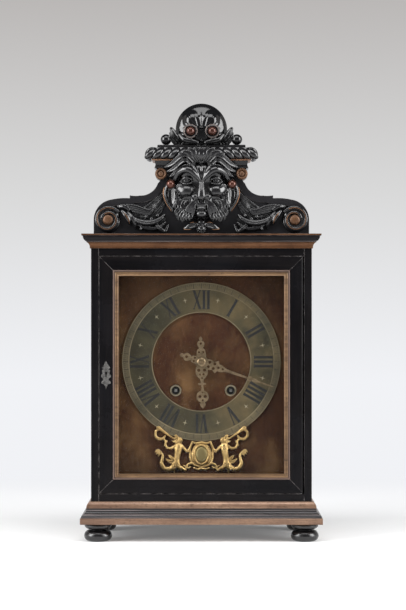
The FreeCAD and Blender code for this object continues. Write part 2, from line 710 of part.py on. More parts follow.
def build_dial():
    sides = (f"-{INNER}", INNER)
    height = (Z_FLOOR, Z_CEILING)
    sheet_outline = rectangle(sides, height)
    holes = [(*CENTRE, "hour_pipe_radius + 1"), *winding_holes("winding_hole")]
    keep(plate("dial_velvet", DIAL_FRONT, "velvet_thick", sheet_outline, holes), "dial_velvet")
    face = plate("dial_sheet", DIAL_BACK, "dial_plate_thick", sheet_outline, holes)
    feet = [rod(f"dial_foot_{i}", "0.6*pillar_radius", (x, DIAL_BACK, z), "motion_gap", "y")
            for i, (x, z) in enumerate(dial_feet())]
    keep(fuse("dial_plate", face, *feet), "dial_plate")
    ring_body = doc.addObject("PartDesign::Body", "ring_body")
    ring_sketch = new_sketch(ring_body, "XZ_Plane", "ring_outline")
    circle(ring_sketch, *CENTRE, "ring_outer")
    circle(ring_sketch, *CENTRE, "ring_inner")
    pad = ring_body.newObject("PartDesign::Pad", "ring_pad")
    pad.Profile = ring_sketch
    pad.setExpression("Length", bound("ring_thick"))
    ring_body.setExpression("Placement.Base.y", bound(VELVET))
    keep(ring_body, "chapter_ring")
    collets = []
    for i, (x, z) in enumerate((GOING, STRIKE)):
        flange = rod(f"collet_flange_{i}", "collet_outer", (x, f"{VELVET} - collet_thick", z), "collet_thick", "y")
        tube = rod(f"collet_tube_{i}", "winding_hole", (x, VELVET, z), "velvet_thick + dial_plate_thick", "y")
        bore = rod(f"collet_bore_{i}", "winding_hole - 0.8", (x, f"{VELVET} - collet_thick - 1", z), "10", "y")
        collets.append(cut(f"collet_{i}", fuse(f"collet_solid_{i}", flange, tube), bore))
    keep(group("winding_collets", *collets), "winding_collets")
    battens = [board(f"batten_{i}", x, (DIAL_BACK, f"{DIAL_BACK} + batten_width"), height)
               for i, x in enumerate(((f"-{INNER}", f"-{INNER} + batten_width"), (f"{INNER} - batten_width", INNER)))]
    keep(group("dial_battens", *battens), "dial_battens")


def dial_feet():
    x = "(plate_half_width - 1.8*pillar_inset)"
    return [(f"{sign}{x}", z) for sign in ("-", "")
            for z in (f"({DIAL_Z} - plate_bottom + pillar_inset)", f"({DIAL_Z} + plate_top - pillar_inset)")]


# Hands
HOUR_BACK = f"({VELVET} - ring_thick - hand_step)"
MINUTE_BACK = f"({HOUR_BACK} - hand_thick - hand_step)"
MINUTE_FRONT = f"({MINUTE_BACK} - hand_thick)"


def shares(points, unit):
    """Points given as shares of a length."""
    return [tuple(f"{number}*{unit}" if number else "0" for number in point) for point in points]


def both_sides(holes):
    """Round holes with those off the middle line repeated on the other side."""
    return [(sign * x, y, r) for x, y, r in holes for sign in ((1, -1) if x else (1,))]


def build_hand(label, back, length, angle, half, holes, bore):
    pierced = shares(both_sides(holes), length) + [("0", "0", bore)]
    body = plate(label, "0", "hand_thick", mirrored(shares(half, length)), pierced)
    body.Placement = Placement(Vector(), Rotation(Vector(0, 1, 0), 0))
    body.setExpression("Placement.Rotation.Angle", bound(angle))
    place(body, "0", back, DIAL_Z)
    return keep(body, label)


def build_hands():
    build_hand("hour_hand", HOUR_BACK, "hour_hand_length", "hour_hand_angle", [
        (0, -0.543),
        (0.035, -0.5, 0.006),
        (0.018, -0.455, 0.006),
        (0.078, -0.39, 0.014),
        (0.032, -0.29, 0.012),
        (0.09, -0.22, 0.016),
        (0.1, -0.097, 0.004),
        (0.1, 0.097, 0.039),
        (0.13, 0.17, 0.008),
        (0.05, 0.36, 0.03),
        (0.03, 0.45, -0.006),
        (0.078, 0.46),
        (0.078, 0.49, 0.006),
        (0.022, 0.5),
        (0.034, 0.62, -0.004),
        (0.125, 0.72, 0.02),
        (0.06, 0.86, 0.03),
        (0.034, 0.885),
        (0.06, 0.91, 0.01),
        (0, 1, 0.012),
    ], [
        (0.062, 0.18, 0.034),
        (0.036, 0.27, 0.024),
        (0, 0.35, 0.018),
        (0.058, 0.745, 0.034),
        (0, 0.66, 0.018),
        (0, 0.825, 0.022),
        (0, -0.39, 0.026),
        (0.045, -0.205, 0.022),
    ], "hour_pipe_radius")
    build_hand("minute_hand", MINUTE_BACK, "minute_hand_length", "minute_hand_angle", [
        (0, -0.296),
        (0.028, -0.272, 0.005),
        (0.014, -0.245, 0.004),
        (0.052, -0.208, 0.009),
        (0.02, -0.145, 0.008),
        (0.048, -0.1, 0.008),
        (0.045, -0.05, 0.002),
        (0.045, 0.05, 0.0224),
        (0.066, 0.105, 0.008),
        (0.05, 0.165, 0.006),
        (0.084, 0.215, 0.004),
        (0.046, 0.235, -0.002),
        (0.036, 0.3, 0.006),
        (0.019, 0.36, -0.004),
        (0.012, 0.645),
        (0.036, 0.672, 0.006),
        (0.013, 0.7, 0.006),
        (0.022, 0.735, 0.005),
        (0.01, 0.78, 0.003),
        (0.01, 0.92),
        (0, 1),
    ], [
        (0.032, 0.105, 0.02),
        (0.032, 0.175, 0.02),
        (0, 0.235, 0.016),
        (0, 0.295, 0.015),
        (0, -0.205, 0.018),
        (0.022, -0.098, 0.014),
    ], "cannon_radius")
    nut = turned("hand_nut", [
        ("0.6*cannon_radius", "0"),
        ("1.5*cannon_radius", "0"),
        ("0.6*cannon_radius", "-0.9*cannon_radius", "-0.5*cannon_radius"),
    ], "XY_Plane")
    keep(place(nut, "0", MINUTE_FRONT, DIAL_Z), "hand_collet")


# Cartouche mount below the ring
# Its right-hand sea figure: strokes for body, head, arms, tail, fin, curl, horn and ribbon, as points of across, up
# and radius in shares of the mount's half width and half height
MOUNT_STROKES = [
    [(0.47, 0.2, 0.155), (0.525, -0.5, 0.15), (0.59, -0.72, 0.14), (0.75, -0.77, 0.105), (0.825, -0.56, 0.083),
     (0.803, -0.19, 0.055), (0.94, -0.15, 0.045)],
    [(0.465, 0.3, 0.09), (0.443, 0.39, 0.112)],
    [(0.42, 0.2, 0.075), (0.29, -0.03, 0.06), (0.2, 0.3, 0.05)],
    [(0.53, 0.2, 0.075), (0.71, 0.13, 0.06), (0.72, 0.42, 0.05)],
    [(0.557, -0.66, 0.075), (0.564, -0.92, 0.045)],
    [(0.5, -0.64, 0.08), (0.34, -0.83, 0.06), (0.2, -0.66, 0.055)],
    [(0.49, 0.41, 0.04), (0.905, 0.89, 0.055), (0.945, 0.7, 0.062), (0.85, 0.52, 0.068), (0.72, 0.62, 0.05)],
]


def build_mount():
    middle = f"({DIAL_Z} - ring_outer - mount_drop)"
    face, foot = value(VELVET), value(middle)
    wide, tall = value("mount_width/2"), value("mount_height/2")

    def at(across, up, *sagitta):
        return (f"{across}*mount_width/2" if across else "0", f"{up}*mount_height/2", *sagitta)

    shield = plate("mount_shield", VELVET, "1.6", mirrored([
        at(0, -0.78),
        at(0.2, -0.66, "1"),
        at(0.245, -0.1, "1.5"),
        at(0.2, 0.38, "-1"),
        at(0.1, 0.31, "-0.5"),
        at(0, 0.36, "0.6"),
    ]))
    oval = plate("mount_oval", VELVET, "3.4", mirrored([
        at(0, -0.6),
        at(0.165, -0.17, "0.05*mount_width/2"),
        at(0, 0.26, "0.05*mount_width/2"),
    ]))
    for piece in (shield, oval):
        piece.setExpression("Placement.Base.z", bound(middle))
    doc.recompute()
    limbs = []
    for stroke in MOUNT_STROKES:
        for side in (-1, 1):
            ends = [(side * across * wide, 0.5 * radius * tall, foot + up * tall, radius * tall)
                    for across, up, radius in stroke]
            limbs.append(limb(face, *ends))
    whole = shield.Shape.fuse(oval.Shape)
    for piece in limbs:
        whole = whole.fuse(piece)
    shape_part("cartouche_mount", whole.removeSplitter())


# Movement plates, bell and cocks
def build_plates():
    small = (SECOND, PIN_ARBOR, FLY_ARBOR, THIRD, ESCAPE, PALLET, HAMMER)
    size = rectangle(("-plate_half_width", "plate_half_width"),
                     (f"{DIAL_Z} - plate_bottom", f"{DIAL_Z} + plate_top"))
    front_holes = [(*arbor, SNUG) for arbor in small]
    front_holes += [(*CENTRE, "centre_arbor + running_clearance")]
    front_holes += winding_holes("barrel_arbor - 0.5 + running_clearance")
    back_holes = [(*arbor, SNUG) for arbor in (*small, CENTRE)]
    back_holes += winding_holes("barrel_arbor/2 + running_clearance")
    front = plate("front_sheet", TRAIN_FRONT, "plate_thick", size, front_holes)
    stud = rod("minute_stud", "arbor_radius", (MOTION[0], f"{PLATE_FRONT} - 0.8*motion_gap", MOTION[1]),
               "0.8*motion_gap", "y")
    clicks = []
    for i, (x, z) in enumerate((GOING, STRIKE)):
        clicks.append(board(f"click_spring_{i}", (f"{x} + ratchet_radius + 0.6", f"{x} + ratchet_radius + 1.6"),
                            (f"{PLATE_FRONT} - 2.6", PLATE_FRONT), (f"{z} - 6", f"{z} + 9")))
        clicks.append(board(f"click_foot_{i}", (f"{x} + ratchet_radius + 0.6", f"{x} + ratchet_radius + 6"),
                            (f"{PLATE_FRONT} - 2.6", PLATE_FRONT), (f"{z} + 6", f"{z} + 12")))
    keep(fuse("movement_front_plate", front, stud, *clicks), "movement_front_plate")
    back = plate("back_sheet", PLATE_BACK, "plate_thick", size, back_holes)
    x = "(plate_half_width - pillar_inset)"
    corners = [(f"{sign}{x}", z) for sign in ("-", "")
               for z in (f"({DIAL_Z} - plate_bottom + pillar_inset)", f"({DIAL_Z} + plate_top - pillar_inset)")]
    pillars = []
    for i, (px, pz) in enumerate(corners):
        pillar = turned(f"pillar_{i}", [
            ("0", "0"),
            ("pillar_radius", "0"),
            ("pillar_radius", "0.1*plate_gap"),
            ("0.6*pillar_radius", "0.16*plate_gap"),
            ("0.6*pillar_radius", "0.84*plate_gap", "0.3*pillar_radius"),
            ("pillar_radius", "0.9*plate_gap"),
            ("pillar_radius", "plate_gap"),
            ("0", "plate_gap"),
        ], "XY_Plane")
        pillars.append(place(pillar, px, TRAIN_FRONT, pz))
    keep(fuse("movement_back_plate", back, *pillars), "movement_back_plate")


BELL_RIM = f"({DIAL_Z} + plate_top + bell_lift)"
BELL_Y = f"(({TRAIN_FRONT} + {TRAIN_BACK})/2)"


def build_bell():
    inner = "(bell_radius - bell_wall)"
    bell = turned("bell_cup", [
        ("bell_radius", "0"),
        ("0.86*bell_radius", "0.25*bell_height", "-0.03*bell_radius"),
        ("0.3*bell_radius", "bell_height", "0.2*bell_radius"),
        ("0", "bell_height"),
        ("0", "bell_height - bell_wall"),
        ("0.3*bell_radius", "bell_height - bell_wall"),
        (f"0.86*{inner}", "0.25*bell_height", "-0.2*bell_radius"),
        (inner, "0", "0.03*bell_radius"),
    ])
    keep(place(bell, "bell_x", BELL_Y, BELL_RIM), "bell")
    wide = "(0.2*bell_radius)"
    strap_back = f"({BELL_Y} + bell_radius + 4)"
    top = f"({BELL_RIM} + bell_height)"
    foot = board("stand_foot", (f"bell_x - {wide}", f"bell_x + {wide}"), (PLATE_BACK, strap_back),
                 (f"{DIAL_Z} + plate_top - 18", f"{DIAL_Z} + plate_top - 4"))
    strap = board("stand_strap", (f"bell_x - {wide}", f"bell_x + {wide}"), (f"{strap_back} - 2.5", strap_back),
                  (f"{DIAL_Z} + plate_top - 18", f"{top} + 2.5"))
    arm = board("stand_arm", (f"bell_x - {wide}", f"bell_x + {wide}"), (f"{BELL_Y} - {wide}", strap_back),
                (top, f"{top} + 2.5"))
    screw = rod("stand_screw", "0.5*bell_wall + 2", ("bell_x", BELL_Y, f"{top} + 2.5"), "3")
    keep(fuse("bell_stand", foot, strap, arm, screw), "bell_stand")


PENDULUM_Y = f"({PLATE_BACK} + 9.5)"


def build_pendulum():
    x, z = PALLET
    foot = board("cock_foot", ("6", "26"), (PLATE_BACK, f"{PLATE_BACK} + 2.5"), (f"{z} - 8", f"{z} + 6"))
    arm = board("cock_arm", ("14", "26"), (PLATE_BACK, f"{PENDULUM_Y} + 7.5"), (f"{z} - 4", f"{z} + 4"))
    bridge = board("cock_bridge", ("-4", "26"), (f"{PENDULUM_Y} + 4.5", f"{PENDULUM_Y} + 7.5"), (f"{z} - 4", f"{z} + 4"))
    stud = rod("cock_stud", "arbor_pivot", (x, f"{PENDULUM_Y} - 3", z), "7.5", "y")
    keep(fuse("pendulum_cock", foot, arm, bridge, stud), "pendulum_cock")
    loop = rod("rod_loop", "4*arbor_pivot", (x, f"{PENDULUM_Y} - 1.3*rod_radius", z), "2.6*rod_radius", "y")
    stem = rod("rod_stem", "rod_radius", (x, PENDULUM_Y, f"{z} - pendulum_length - 1.4*bob_radius"),
               "pendulum_length + 1.4*bob_radius - 2*arbor_pivot")
    bore = rod("rod_bore", SNUG, (x, f"{PENDULUM_Y} - 5", z), "10", "y")
    nut = rod("rod_nut", "2.4*rod_radius", (x, PENDULUM_Y, f"{z} - pendulum_length - 1.25*bob_radius"), "4")
    keep(cut("pendulum_rod", fuse("rod_solid", loop, stem, nut), bore), "pendulum_rod")
    lens = turned("bob_lens", [
        ("0", "-bob_thick/2"),
        ("bob_radius", "0", "0.12*bob_radius"),
        ("0", "bob_thick/2", "0.12*bob_radius"),
    ], "XY_Plane")
    place(lens, x, PENDULUM_Y, f"{z} - pendulum_length")
    way = rod("bob_way", "rod_radius", (x, PENDULUM_Y, f"{z} - pendulum_length - 2*bob_radius"), "4*bob_radius")
    keep(cut("pendulum_bob", lens, way), "pendulum_bob")


# Toothed wheels
def spot(arbor):
    """An arbor's (x, z) as numbers."""
    return value(arbor[0]), value(arbor[1])


def direction(start, end):
    """The angle from one arbor to another."""
    (x0, z0), (x1, z1) = spot(start), spot(end)
    return math.atan2(z1 - z0, x1 - x0)


def reach(start, end):
    (x0, z0), (x1, z1) = spot(start), spot(end)
    return math.hypot(x1 - x0, z1 - z0)


def ring_points(arbor, samples):
    """Points (radius, angle) about an arbor as vectors in its plane."""
    x, z = spot(arbor)
    return [Vector(x + r * math.cos(a), 0, z + r * math.sin(a)) for r, a in samples]


WHEEL_TOOTH = ((-1.25, 1.2), (0.85, 0.45))
LEAF_TOOTH = ((-1.4, 1.0), (0.55, 0.6))
WHEEL_SHARE = 0.43
LEAF_SHARE = 0.33


def teeth_wire(arbor, teeth, module, first, tooth, share):
    """The outline of a toothed wheel with the middle of one tooth at the angle given. A tooth is a flank of
    (height in modules, half width in shares of its width on the pitch circle)."""
    pitch_radius = module * teeth / 2
    half = share * math.pi / teeth
    flank = [(pitch_radius + height * module, -width * half) for height, width in tooth]
    flank += [(radius, -angle) for radius, angle in reversed(flank)]
    samples = [(radius, first + 2 * math.pi * i / teeth + angle) for i in range(teeth) for radius, angle in flank]
    points = ring_points(arbor, samples)
    return Part.makePolygon(points + points[:1])


def slab(wires, start, length):
    """Extrudes flat outlines, the first with the others as holes, from y = start."""
    face = Part.makeFace(wires, "Part::FaceMakerBullseye")
    face.translate(Vector(0, start, 0))
    return face.extrude(Vector(0, length, 0))


def crossings(arbor, hub, rim, arms, arm_half):
    """The openings between a wheel's arms."""
    openings = []
    for i in range(arms):
        low, high = 2 * math.pi * i / arms, 2 * math.pi * (i + 1) / arms
        corners = []
        for radius, flip in ((hub, False), (rim, True)):
            lean = math.asin(arm_half / radius)
            angles = [low + lean, (low + high) / 2, high - lean]
            corners.append(ring_points(arbor, [(radius, a) for a in (reversed(angles) if flip else angles)]))
        inner, outer = corners
        edges = [Part.Arc(*inner).toShape(), Part.LineSegment(inner[2], outer[0]).toShape(),
                 Part.Arc(*outer).toShape(), Part.LineSegment(outer[2], inner[0]).toShape()]
        openings.append(Part.Wire(edges))
    return openings


def wheel(arbor, teeth, module, first, start, hub):
    """A crossed-out wheel."""
    rim = module * (teeth / 2 - 1.25) - 2.2
    openings = crossings(arbor, hub, rim, 4, 1.3)
    outer = teeth_wire(arbor, teeth, module, first, WHEEL_TOOTH, WHEEL_SHARE)
    return slab([outer, *openings], start, value("wheel_thick"))


def pinion(arbor, leaves, module, toward, start, length):
    """A pinion with a gap facing the wheel that lies at the angle given."""
    first = toward + math.pi / leaves
    return slab([teeth_wire(arbor, leaves, module, first, LEAF_TOOTH, LEAF_SHARE)], start, length)


def spindle(arbor, radius, start, end):
    x, z = spot(arbor)
    return Part.makeCylinder(radius, end - start, Vector(x, start, z), Vector(0, 1, 0))


def train_arbor(arbor, extra=()):
    """An arbor between the plates with a pivot in each, and the pieces fixed on it."""
    front, back = value(TRAIN_FRONT), value(TRAIN_BACK)
    shake, pivot, thick = value("end_shake"), value("arbor_pivot"), value("plate_thick")
    body = spindle(arbor, value("arbor_radius"), front + shake, back - shake)
    ends = spindle(arbor, pivot, front - thick, back + thick)
    return body.fuse([ends, *extra]).removeSplitter()


def build_barrel(label, arbor, driven):
    teeth, module = int(value("great_teeth")), value("great_module")
    start = value(TRAIN_FRONT) + 2
    thick = value("wheel_thick")
    outer = teeth_wire(arbor, teeth, module, direction(arbor, driven), WHEEL_TOOTH, WHEEL_SHARE)
    great = slab([outer], start, thick)
    drum = spindle(arbor, value("barrel_radius"), start + thick, start + thick + value("barrel_length"))
    bore = spindle(arbor, value("barrel_arbor + running_clearance"), start - 1, start + value("barrel_length") + 9)
    shape_part(label, great.fuse(drum).cut(bore).removeSplitter())


def build_winder(label, arbor):
    """A barrel's arbor with its ratchet in front of the plate and its winding square behind the dial."""
    x, z = spot(arbor)
    front, back = value(TRAIN_FRONT), value(TRAIN_BACK)
    plate_front, shake = value(PLATE_FRONT), value("end_shake")
    radius, side = value("barrel_arbor"), value("winding_square")
    core_end = front + 4 + value("barrel_length + wheel_thick")
    core = spindle(arbor, radius, front + shake, core_end)
    tail = spindle(arbor, radius / 2, core_end, back + value("plate_thick"))
    neck = spindle(arbor, radius - 0.5, plate_front - shake, front + shake)
    tips, depth = 24, 0.16
    outer = value("ratchet_radius")
    samples = []
    for i in range(tips):
        angle = 2 * math.pi * i / tips
        samples += [(outer, angle), (outer * (1 - depth), angle + 0.02)]
    points = ring_points(arbor, samples)
    ratchet = slab([Part.makePolygon(points + points[:1])], plate_front - shake - 2, 2)
    tip = value(f"{VELVET} + 1")
    square = Part.makeBox(side, plate_front - shake - tip, side, Vector(x - side / 2, tip, z - side / 2))
    shape_part(label, core.fuse([tail, neck, ratchet, square]).removeSplitter())


def build_going_train():
    thick, leaf = value("wheel_thick"), value("pinion_length")
    front, back = value(TRAIN_FRONT), value(TRAIN_BACK)
    build_barrel("going_barrel", GOING, SECOND)
    build_winder("going_winder", GOING)
    leaves = int(value("second_leaves"))
    second_pinion = pinion(SECOND, leaves, value("great_module"), direction(SECOND, GOING), front + 0.8, leaf)
    teeth, centre_leaves = int(value("second_teeth")), int(value("centre_leaves"))
    module = 2 * reach(SECOND, CENTRE) / (teeth + centre_leaves)
    late = back - 7.5
    second = wheel(SECOND, teeth, module, direction(SECOND, CENTRE), late, 5)
    shape_part("second_wheel", train_arbor(SECOND, (second_pinion, second)))
    build_centre(module, centre_leaves, late)
    centre_module = value("centre_module")
    third_pinion = pinion(THIRD, int(value("third_leaves")), centre_module, -math.pi / 2, centre_plane() - 1.2, leaf)
    early = front + 9.5
    third = wheel(THIRD, int(value("third_teeth")), value("third_module"), math.pi / 2, early, 4)
    shape_part("third_wheel", train_arbor(THIRD, (third_pinion, third)))
    escape_pinion = pinion(ESCAPE, int(value("escape_leaves")), value("third_module"), -math.pi / 2, early - 1.2, leaf)
    shape_part("escape_wheel", train_arbor(ESCAPE, (escape_pinion, escape_disc(late))))
    build_pallets(late, thick)


def centre_plane():
    """The y of the centre wheel's front face."""
    return value(TRAIN_BACK) - 18.5


def build_centre(module, leaves, late):
    """The centre wheel, whose arbor runs out through the dial as the cannon that carries the minute hand."""
    shake = value("end_shake")
    plate_front = value(PLATE_FRONT)
    small = pinion(CENTRE, leaves, module, direction(CENTRE, SECOND), late - 1.2, value("pinion_length"))
    big = wheel(CENTRE, int(value("centre_teeth")), value("centre_module"), math.pi / 2, centre_plane(), 5)
    body = spindle(CENTRE, value("centre_arbor"), plate_front - shake, value(TRAIN_BACK) - shake)
    tail = spindle(CENTRE, value("arbor_pivot"), value(TRAIN_BACK) - shake, value(PLATE_BACK))
    cannon = spindle(CENTRE, value("cannon_radius"), value(MINUTE_FRONT), plate_front - shake)
    tip = spindle(CENTRE, 0.6 * value("cannon_radius"), value(f"{MINUTE_FRONT} - 1.2*cannon_radius"), value(MINUTE_FRONT))
    teeth = int(value("cannon_leaves"))
    drive = pinion(CENTRE, teeth, value("motion_module"), direction(CENTRE, MOTION), plate_front - 4.6, 3.6)
    shape_part("centre_wheel", body.fuse([tail, cannon, tip, drive, small, big]).removeSplitter())


def build_motion_work():
    plate_front, running = value(PLATE_FRONT), value("running_clearance")
    teeth = int(value("minute_wheel_teeth"))
    leaves = int(value("minute_wheel_leaves"))
    hour_teeth = int(value("hour_wheel_teeth"))
    outer = teeth_wire(MOTION, teeth, value("motion_module"), direction(MOTION, CENTRE), WHEEL_TOOTH, WHEEL_SHARE)
    plain = slab([outer, *crossings(MOTION, 7.5, 14.5, 4, 1.3)], plate_front - 3.8, 2)
    module = 2 * reach(MOTION, CENTRE) / (leaves + hour_teeth)
    small = pinion(MOTION, leaves, module, direction(MOTION, CENTRE), plate_front - 8.6, 5)
    bore = spindle(MOTION, value("arbor_radius") + running, plate_front - 12, plate_front)
    shape_part("minute_wheel", plain.fuse(small).cut(bore).removeSplitter())
    ring = teeth_wire(CENTRE, hour_teeth, module, direction(CENTRE, MOTION), WHEEL_TOOTH, WHEEL_SHARE)
    disc = slab([ring, *crossings(CENTRE, 7.5, 13, 4, 1.3)], plate_front - 7.6, 2)
    pipe = spindle(CENTRE, value("hour_pipe_radius"), value(f"{HOUR_BACK} - hand_thick"), plate_front - 5)
    hole = spindle(CENTRE, value("cannon_radius") + running, value(MINUTE_FRONT), plate_front)
    shape_part("hour_wheel", disc.fuse(pipe).cut(hole).removeSplitter())


def escape_disc(start):
    teeth, outer = int(value("escape_teeth")), value("escape_radius")
    samples = []
    for i in range(teeth):
        angle = 2 * math.pi * i / teeth
        samples += [(outer, angle), (outer * 0.8, angle + 0.03), (outer * 0.8, angle + 0.13)]
    points = ring_points(ESCAPE, samples)
    openings = crossings(ESCAPE, 4, outer * 0.66, 4, 1.1)
    return slab([Part.makePolygon(points + points[:1]), *openings], start, value("wheel_thick"))


def build_pallets(late, thick):
    """The anchor over the escape wheel, its arbor and the crutch behind the plate that leads the pendulum."""
    inner = value("escape_radius + pallet_clearance")
    outer = inner + 3
    spread = math.radians(50)
    angles = [math.pi / 2 - spread, math.pi / 2, math.pi / 2 + spread]
    low = ring_points(ESCAPE, [(inner, a) for a in angles])
    high = ring_points(ESCAPE, [(outer, a) for a in reversed(angles)])
    arch = Part.Wire([Part.Arc(*low).toShape(), Part.LineSegment(low[2], high[0]).toShape(),
                      Part.Arc(*high).toShape(), Part.LineSegment(high[2], low[0]).toShape()])
    anchor = slab([arch], late - 1, thick + 2)
    hub = spindle(PALLET, 4, late - 1, late + thick + 1)
    x, z = spot(PALLET)
    behind, swing = value(PLATE_BACK), value(PENDULUM_Y)
    tail = spindle(PALLET, value("arbor_pivot"), behind, behind + 4.5)
    gap = value("rod_radius") + 0.1
    drop = 30
    bar = Part.makeBox(4, 2, drop + 3, Vector(x - 2, behind + 2, z - drop))
    bridge = Part.makeBox(2 * gap + 4, 2, 3, Vector(x - gap - 2, behind + 2, z - drop))
    prongs = [Part.makeBox(2, swing + 2 - behind - 2, 3, Vector(px, behind + 2, z - drop))
              for px in (x - gap - 2, x + gap)]
    shape_part("pallets", train_arbor(PALLET, (anchor, hub, tail, bar, bridge, *prongs)))


def build_strike_train():
    front, back = value(TRAIN_FRONT), value(TRAIN_BACK)
    leaf = value("pinion_length")
    late = back - 7.5
    build_barrel("strike_barrel", STRIKE, PIN_ARBOR)
    build_winder("strike_winder", STRIKE)
    leaves = int(value("second_leaves"))
    small = pinion(PIN_ARBOR, leaves, value("great_module"), direction(PIN_ARBOR, STRIKE), front + 0.8, leaf)
    teeth, module = int(value("pin_wheel_teeth")), value("pin_wheel_module")
    big = wheel(PIN_ARBOR, teeth, module, direction(PIN_ARBOR, FLY_ARBOR), late, 4.5)
    pin_circle = module * (teeth / 2 - 1.25) - 1.2
    pins = [Part.makeCylinder(0.7, 4, point + Vector(0, late - 3.5, 0), Vector(0, 1, 0))
            for point in ring_points(PIN_ARBOR, [(pin_circle, math.pi * i / 4) for i in range(8)])]
    shape_part("pin_wheel", train_arbor(PIN_ARBOR, (small, big, *pins)))
    fly_pinion = pinion(FLY_ARBOR, int(value("fly_leaves")), module, direction(FLY_ARBOR, PIN_ARBOR), late - 1.2, leaf)
    x, z = spot(FLY_ARBOR)
    blade = Part.makeBox(18, 15, 0.8, Vector(x - 9, front + 9, z - 0.4))
    shape_part("fly", train_arbor(FLY_ARBOR, (fly_pinion, blade)))
    build_hammer()


def build_hammer():
    x, z = spot(HAMMER)
    y, rim = value(BELL_Y), value(BELL_RIM)
    head_radius = value("hammer_head")
    strike_z = rim + head_radius + 1
    stem = Part.makeBox(3, 3, strike_z - z, Vector(x - 1.5, y - 1.5, z))
    gap_end = value("bell_x - bell_radius - 1.2")
    head = Part.makeCylinder(head_radius, gap_end - x + 4, Vector(x - 4, y, strike_z), Vector(1, 0, 0))
    to_pins = direction(HAMMER, PIN_ARBOR)
    tail_length = reach(HAMMER, PIN_ARBOR) - value("pin_wheel_module*pin_wheel_teeth/2") - 2
    tail = Part.makeBox(tail_length, 2, 2, Vector(0, value(TRAIN_BACK) - 11, -1))
    tail.rotate(Vector(), Vector(0, 1, 0), -math.degrees(to_pins))
    tail.translate(Vector(x, 0, z))
    shape_part("hammer", train_arbor(HAMMER, (stem, head, tail)))


# Crest
SCROLL = ("(crest_half_width - 1.27*scroll_radius)", f"({Z_CREST} + 1.08*scroll_radius)")


def build_crest_board():
    wide, tall, shoulder = "crest_half_width", "crest_height", "crest_shoulder"
    half = [
        (wide, "0"),
        (wide, f"0.4*{shoulder}"),
        (f"0.83*{wide}", f"0.965*{shoulder}", "6.5"),
        (f"0.665*{wide}", shoulder, "0.8"),
        (f"0.665*{wide}", f"{shoulder} + 3.5"),
        (f"0.57*{wide}", f"{shoulder} + 3.3", "-0.5"),
        (f"0.405*{wide}", f"0.77*{tall}", "-4.5"),
        (f"0.38*{wide}", f"0.83*{tall}", "-0.4"),
        (f"0.42*{wide}", tall, "-1"),
    ]
    body = plate("crest_panel", f"{CREST_FACE} + crest_thick", "crest_thick", mirrored(half))
    body.setExpression("Placement.Base.z", bound(Z_CREST))
    doc.recompute()
    border = doc.addObject("Part::Feature", "crest_border")
    border.Shape = raised_border(body.Shape)
    keep(fuse("crest_board", body, border), "crest_board")


def raised_border(panel):
    """A flat band along the top edge of the crest's front, clear of its foot and of the scrolls."""
    front = min(panel.Faces, key=lambda face: face.CenterOfMass.y)
    forward = Vector(0, -value("border_proud"), 0)
    field = Part.Face(front.OuterWire.makeOffset2D(-value("border_width")))
    wide, radius = value("crest_half_width"), value("scroll_radius")
    face, base = value(CREST_FACE), value(Z_CREST)
    away = [field.extrude(forward)]
    away.append(Part.makeBox(2.2 * wide, wide, 1.35 * radius, Vector(-1.1 * wide, face - wide, base)))
    for side in (-1, 1):
        centre = Vector(side * value(SCROLL[0]), face - wide, value(SCROLL[1]))
        away.append(Part.makeCylinder(1.1 * radius, 2 * wide, centre, Vector(0, 1, 0)))
    return front.extrude(forward).cut(away)


CAP_LOW = f"({Z_CREST} + crest_height)"
CAP_CORE = "(cap_half_width - 20.5)"
CAP_FRONT = f"({CREST_FACE} + 4)"
CAP_BACK = f"({CREST_FACE} + 34)"
# The gadroon's rounding: how far its widest line and its top stand out from the core, the rise of the widest
# line, and the sagitta between them
GADROON_OUT, GADROON_IN, GADROON_RISE, GADROON_SAGITTA = 20.5, 13.0, 2.0, 2.2


def build_crest_cap():
    path = [(f"-{CAP_CORE}", CAP_BACK), (f"-{CAP_CORE}", CAP_FRONT), (CAP_CORE, CAP_FRONT), (CAP_CORE, CAP_BACK)]
    low = "frieze_height"
    high = "frieze_height + gadroon_height"
    slab = f"slab_half_width - cap_half_width + {GADROON_OUT}"
    profile = [
        ("-10", "0"),
        ("7", "0"),
        ("9", "frieze_height - 2.4", "-0.4"),
        ("12", "frieze_height - 2.4"),
        ("12.5", low),
        ("18", low),
        (str(GADROON_OUT), f"{low} + {GADROON_RISE}", "0.4"),
        (str(GADROON_IN), high, str(GADROON_SAGITTA)),
        (slab, high),
        (slab, f"{high} + slab_height"),
        ("-10", f"{high} + slab_height"),
    ]
    placed = [(f"-{CAP_CORE} - ({p[0]})", f"{CAP_LOW} + {p[1]}") + tuple(p[2:]) for p in profile]
    ring = swept("cap_moulding", "XY_Plane", path, False, "XZ_Plane", placed, f"-{CAP_BACK}")
    core = board("cap_core", (f"-{CAP_CORE} + 9", f"{CAP_CORE} - 9"), (f"{CAP_FRONT} + 9", CAP_BACK),
                 (CAP_LOW, f"{CAP_LOW} + {high} + slab_height"))
    grooves = doc.addObject("Part::Feature", "gadroon_grooves")
    grooves.Shape = Part.makeCompound(gadroon_grooves())
    keep(cut("crest_cap", fuse("cap_solid", ring, core), grooves), "crest_cap")


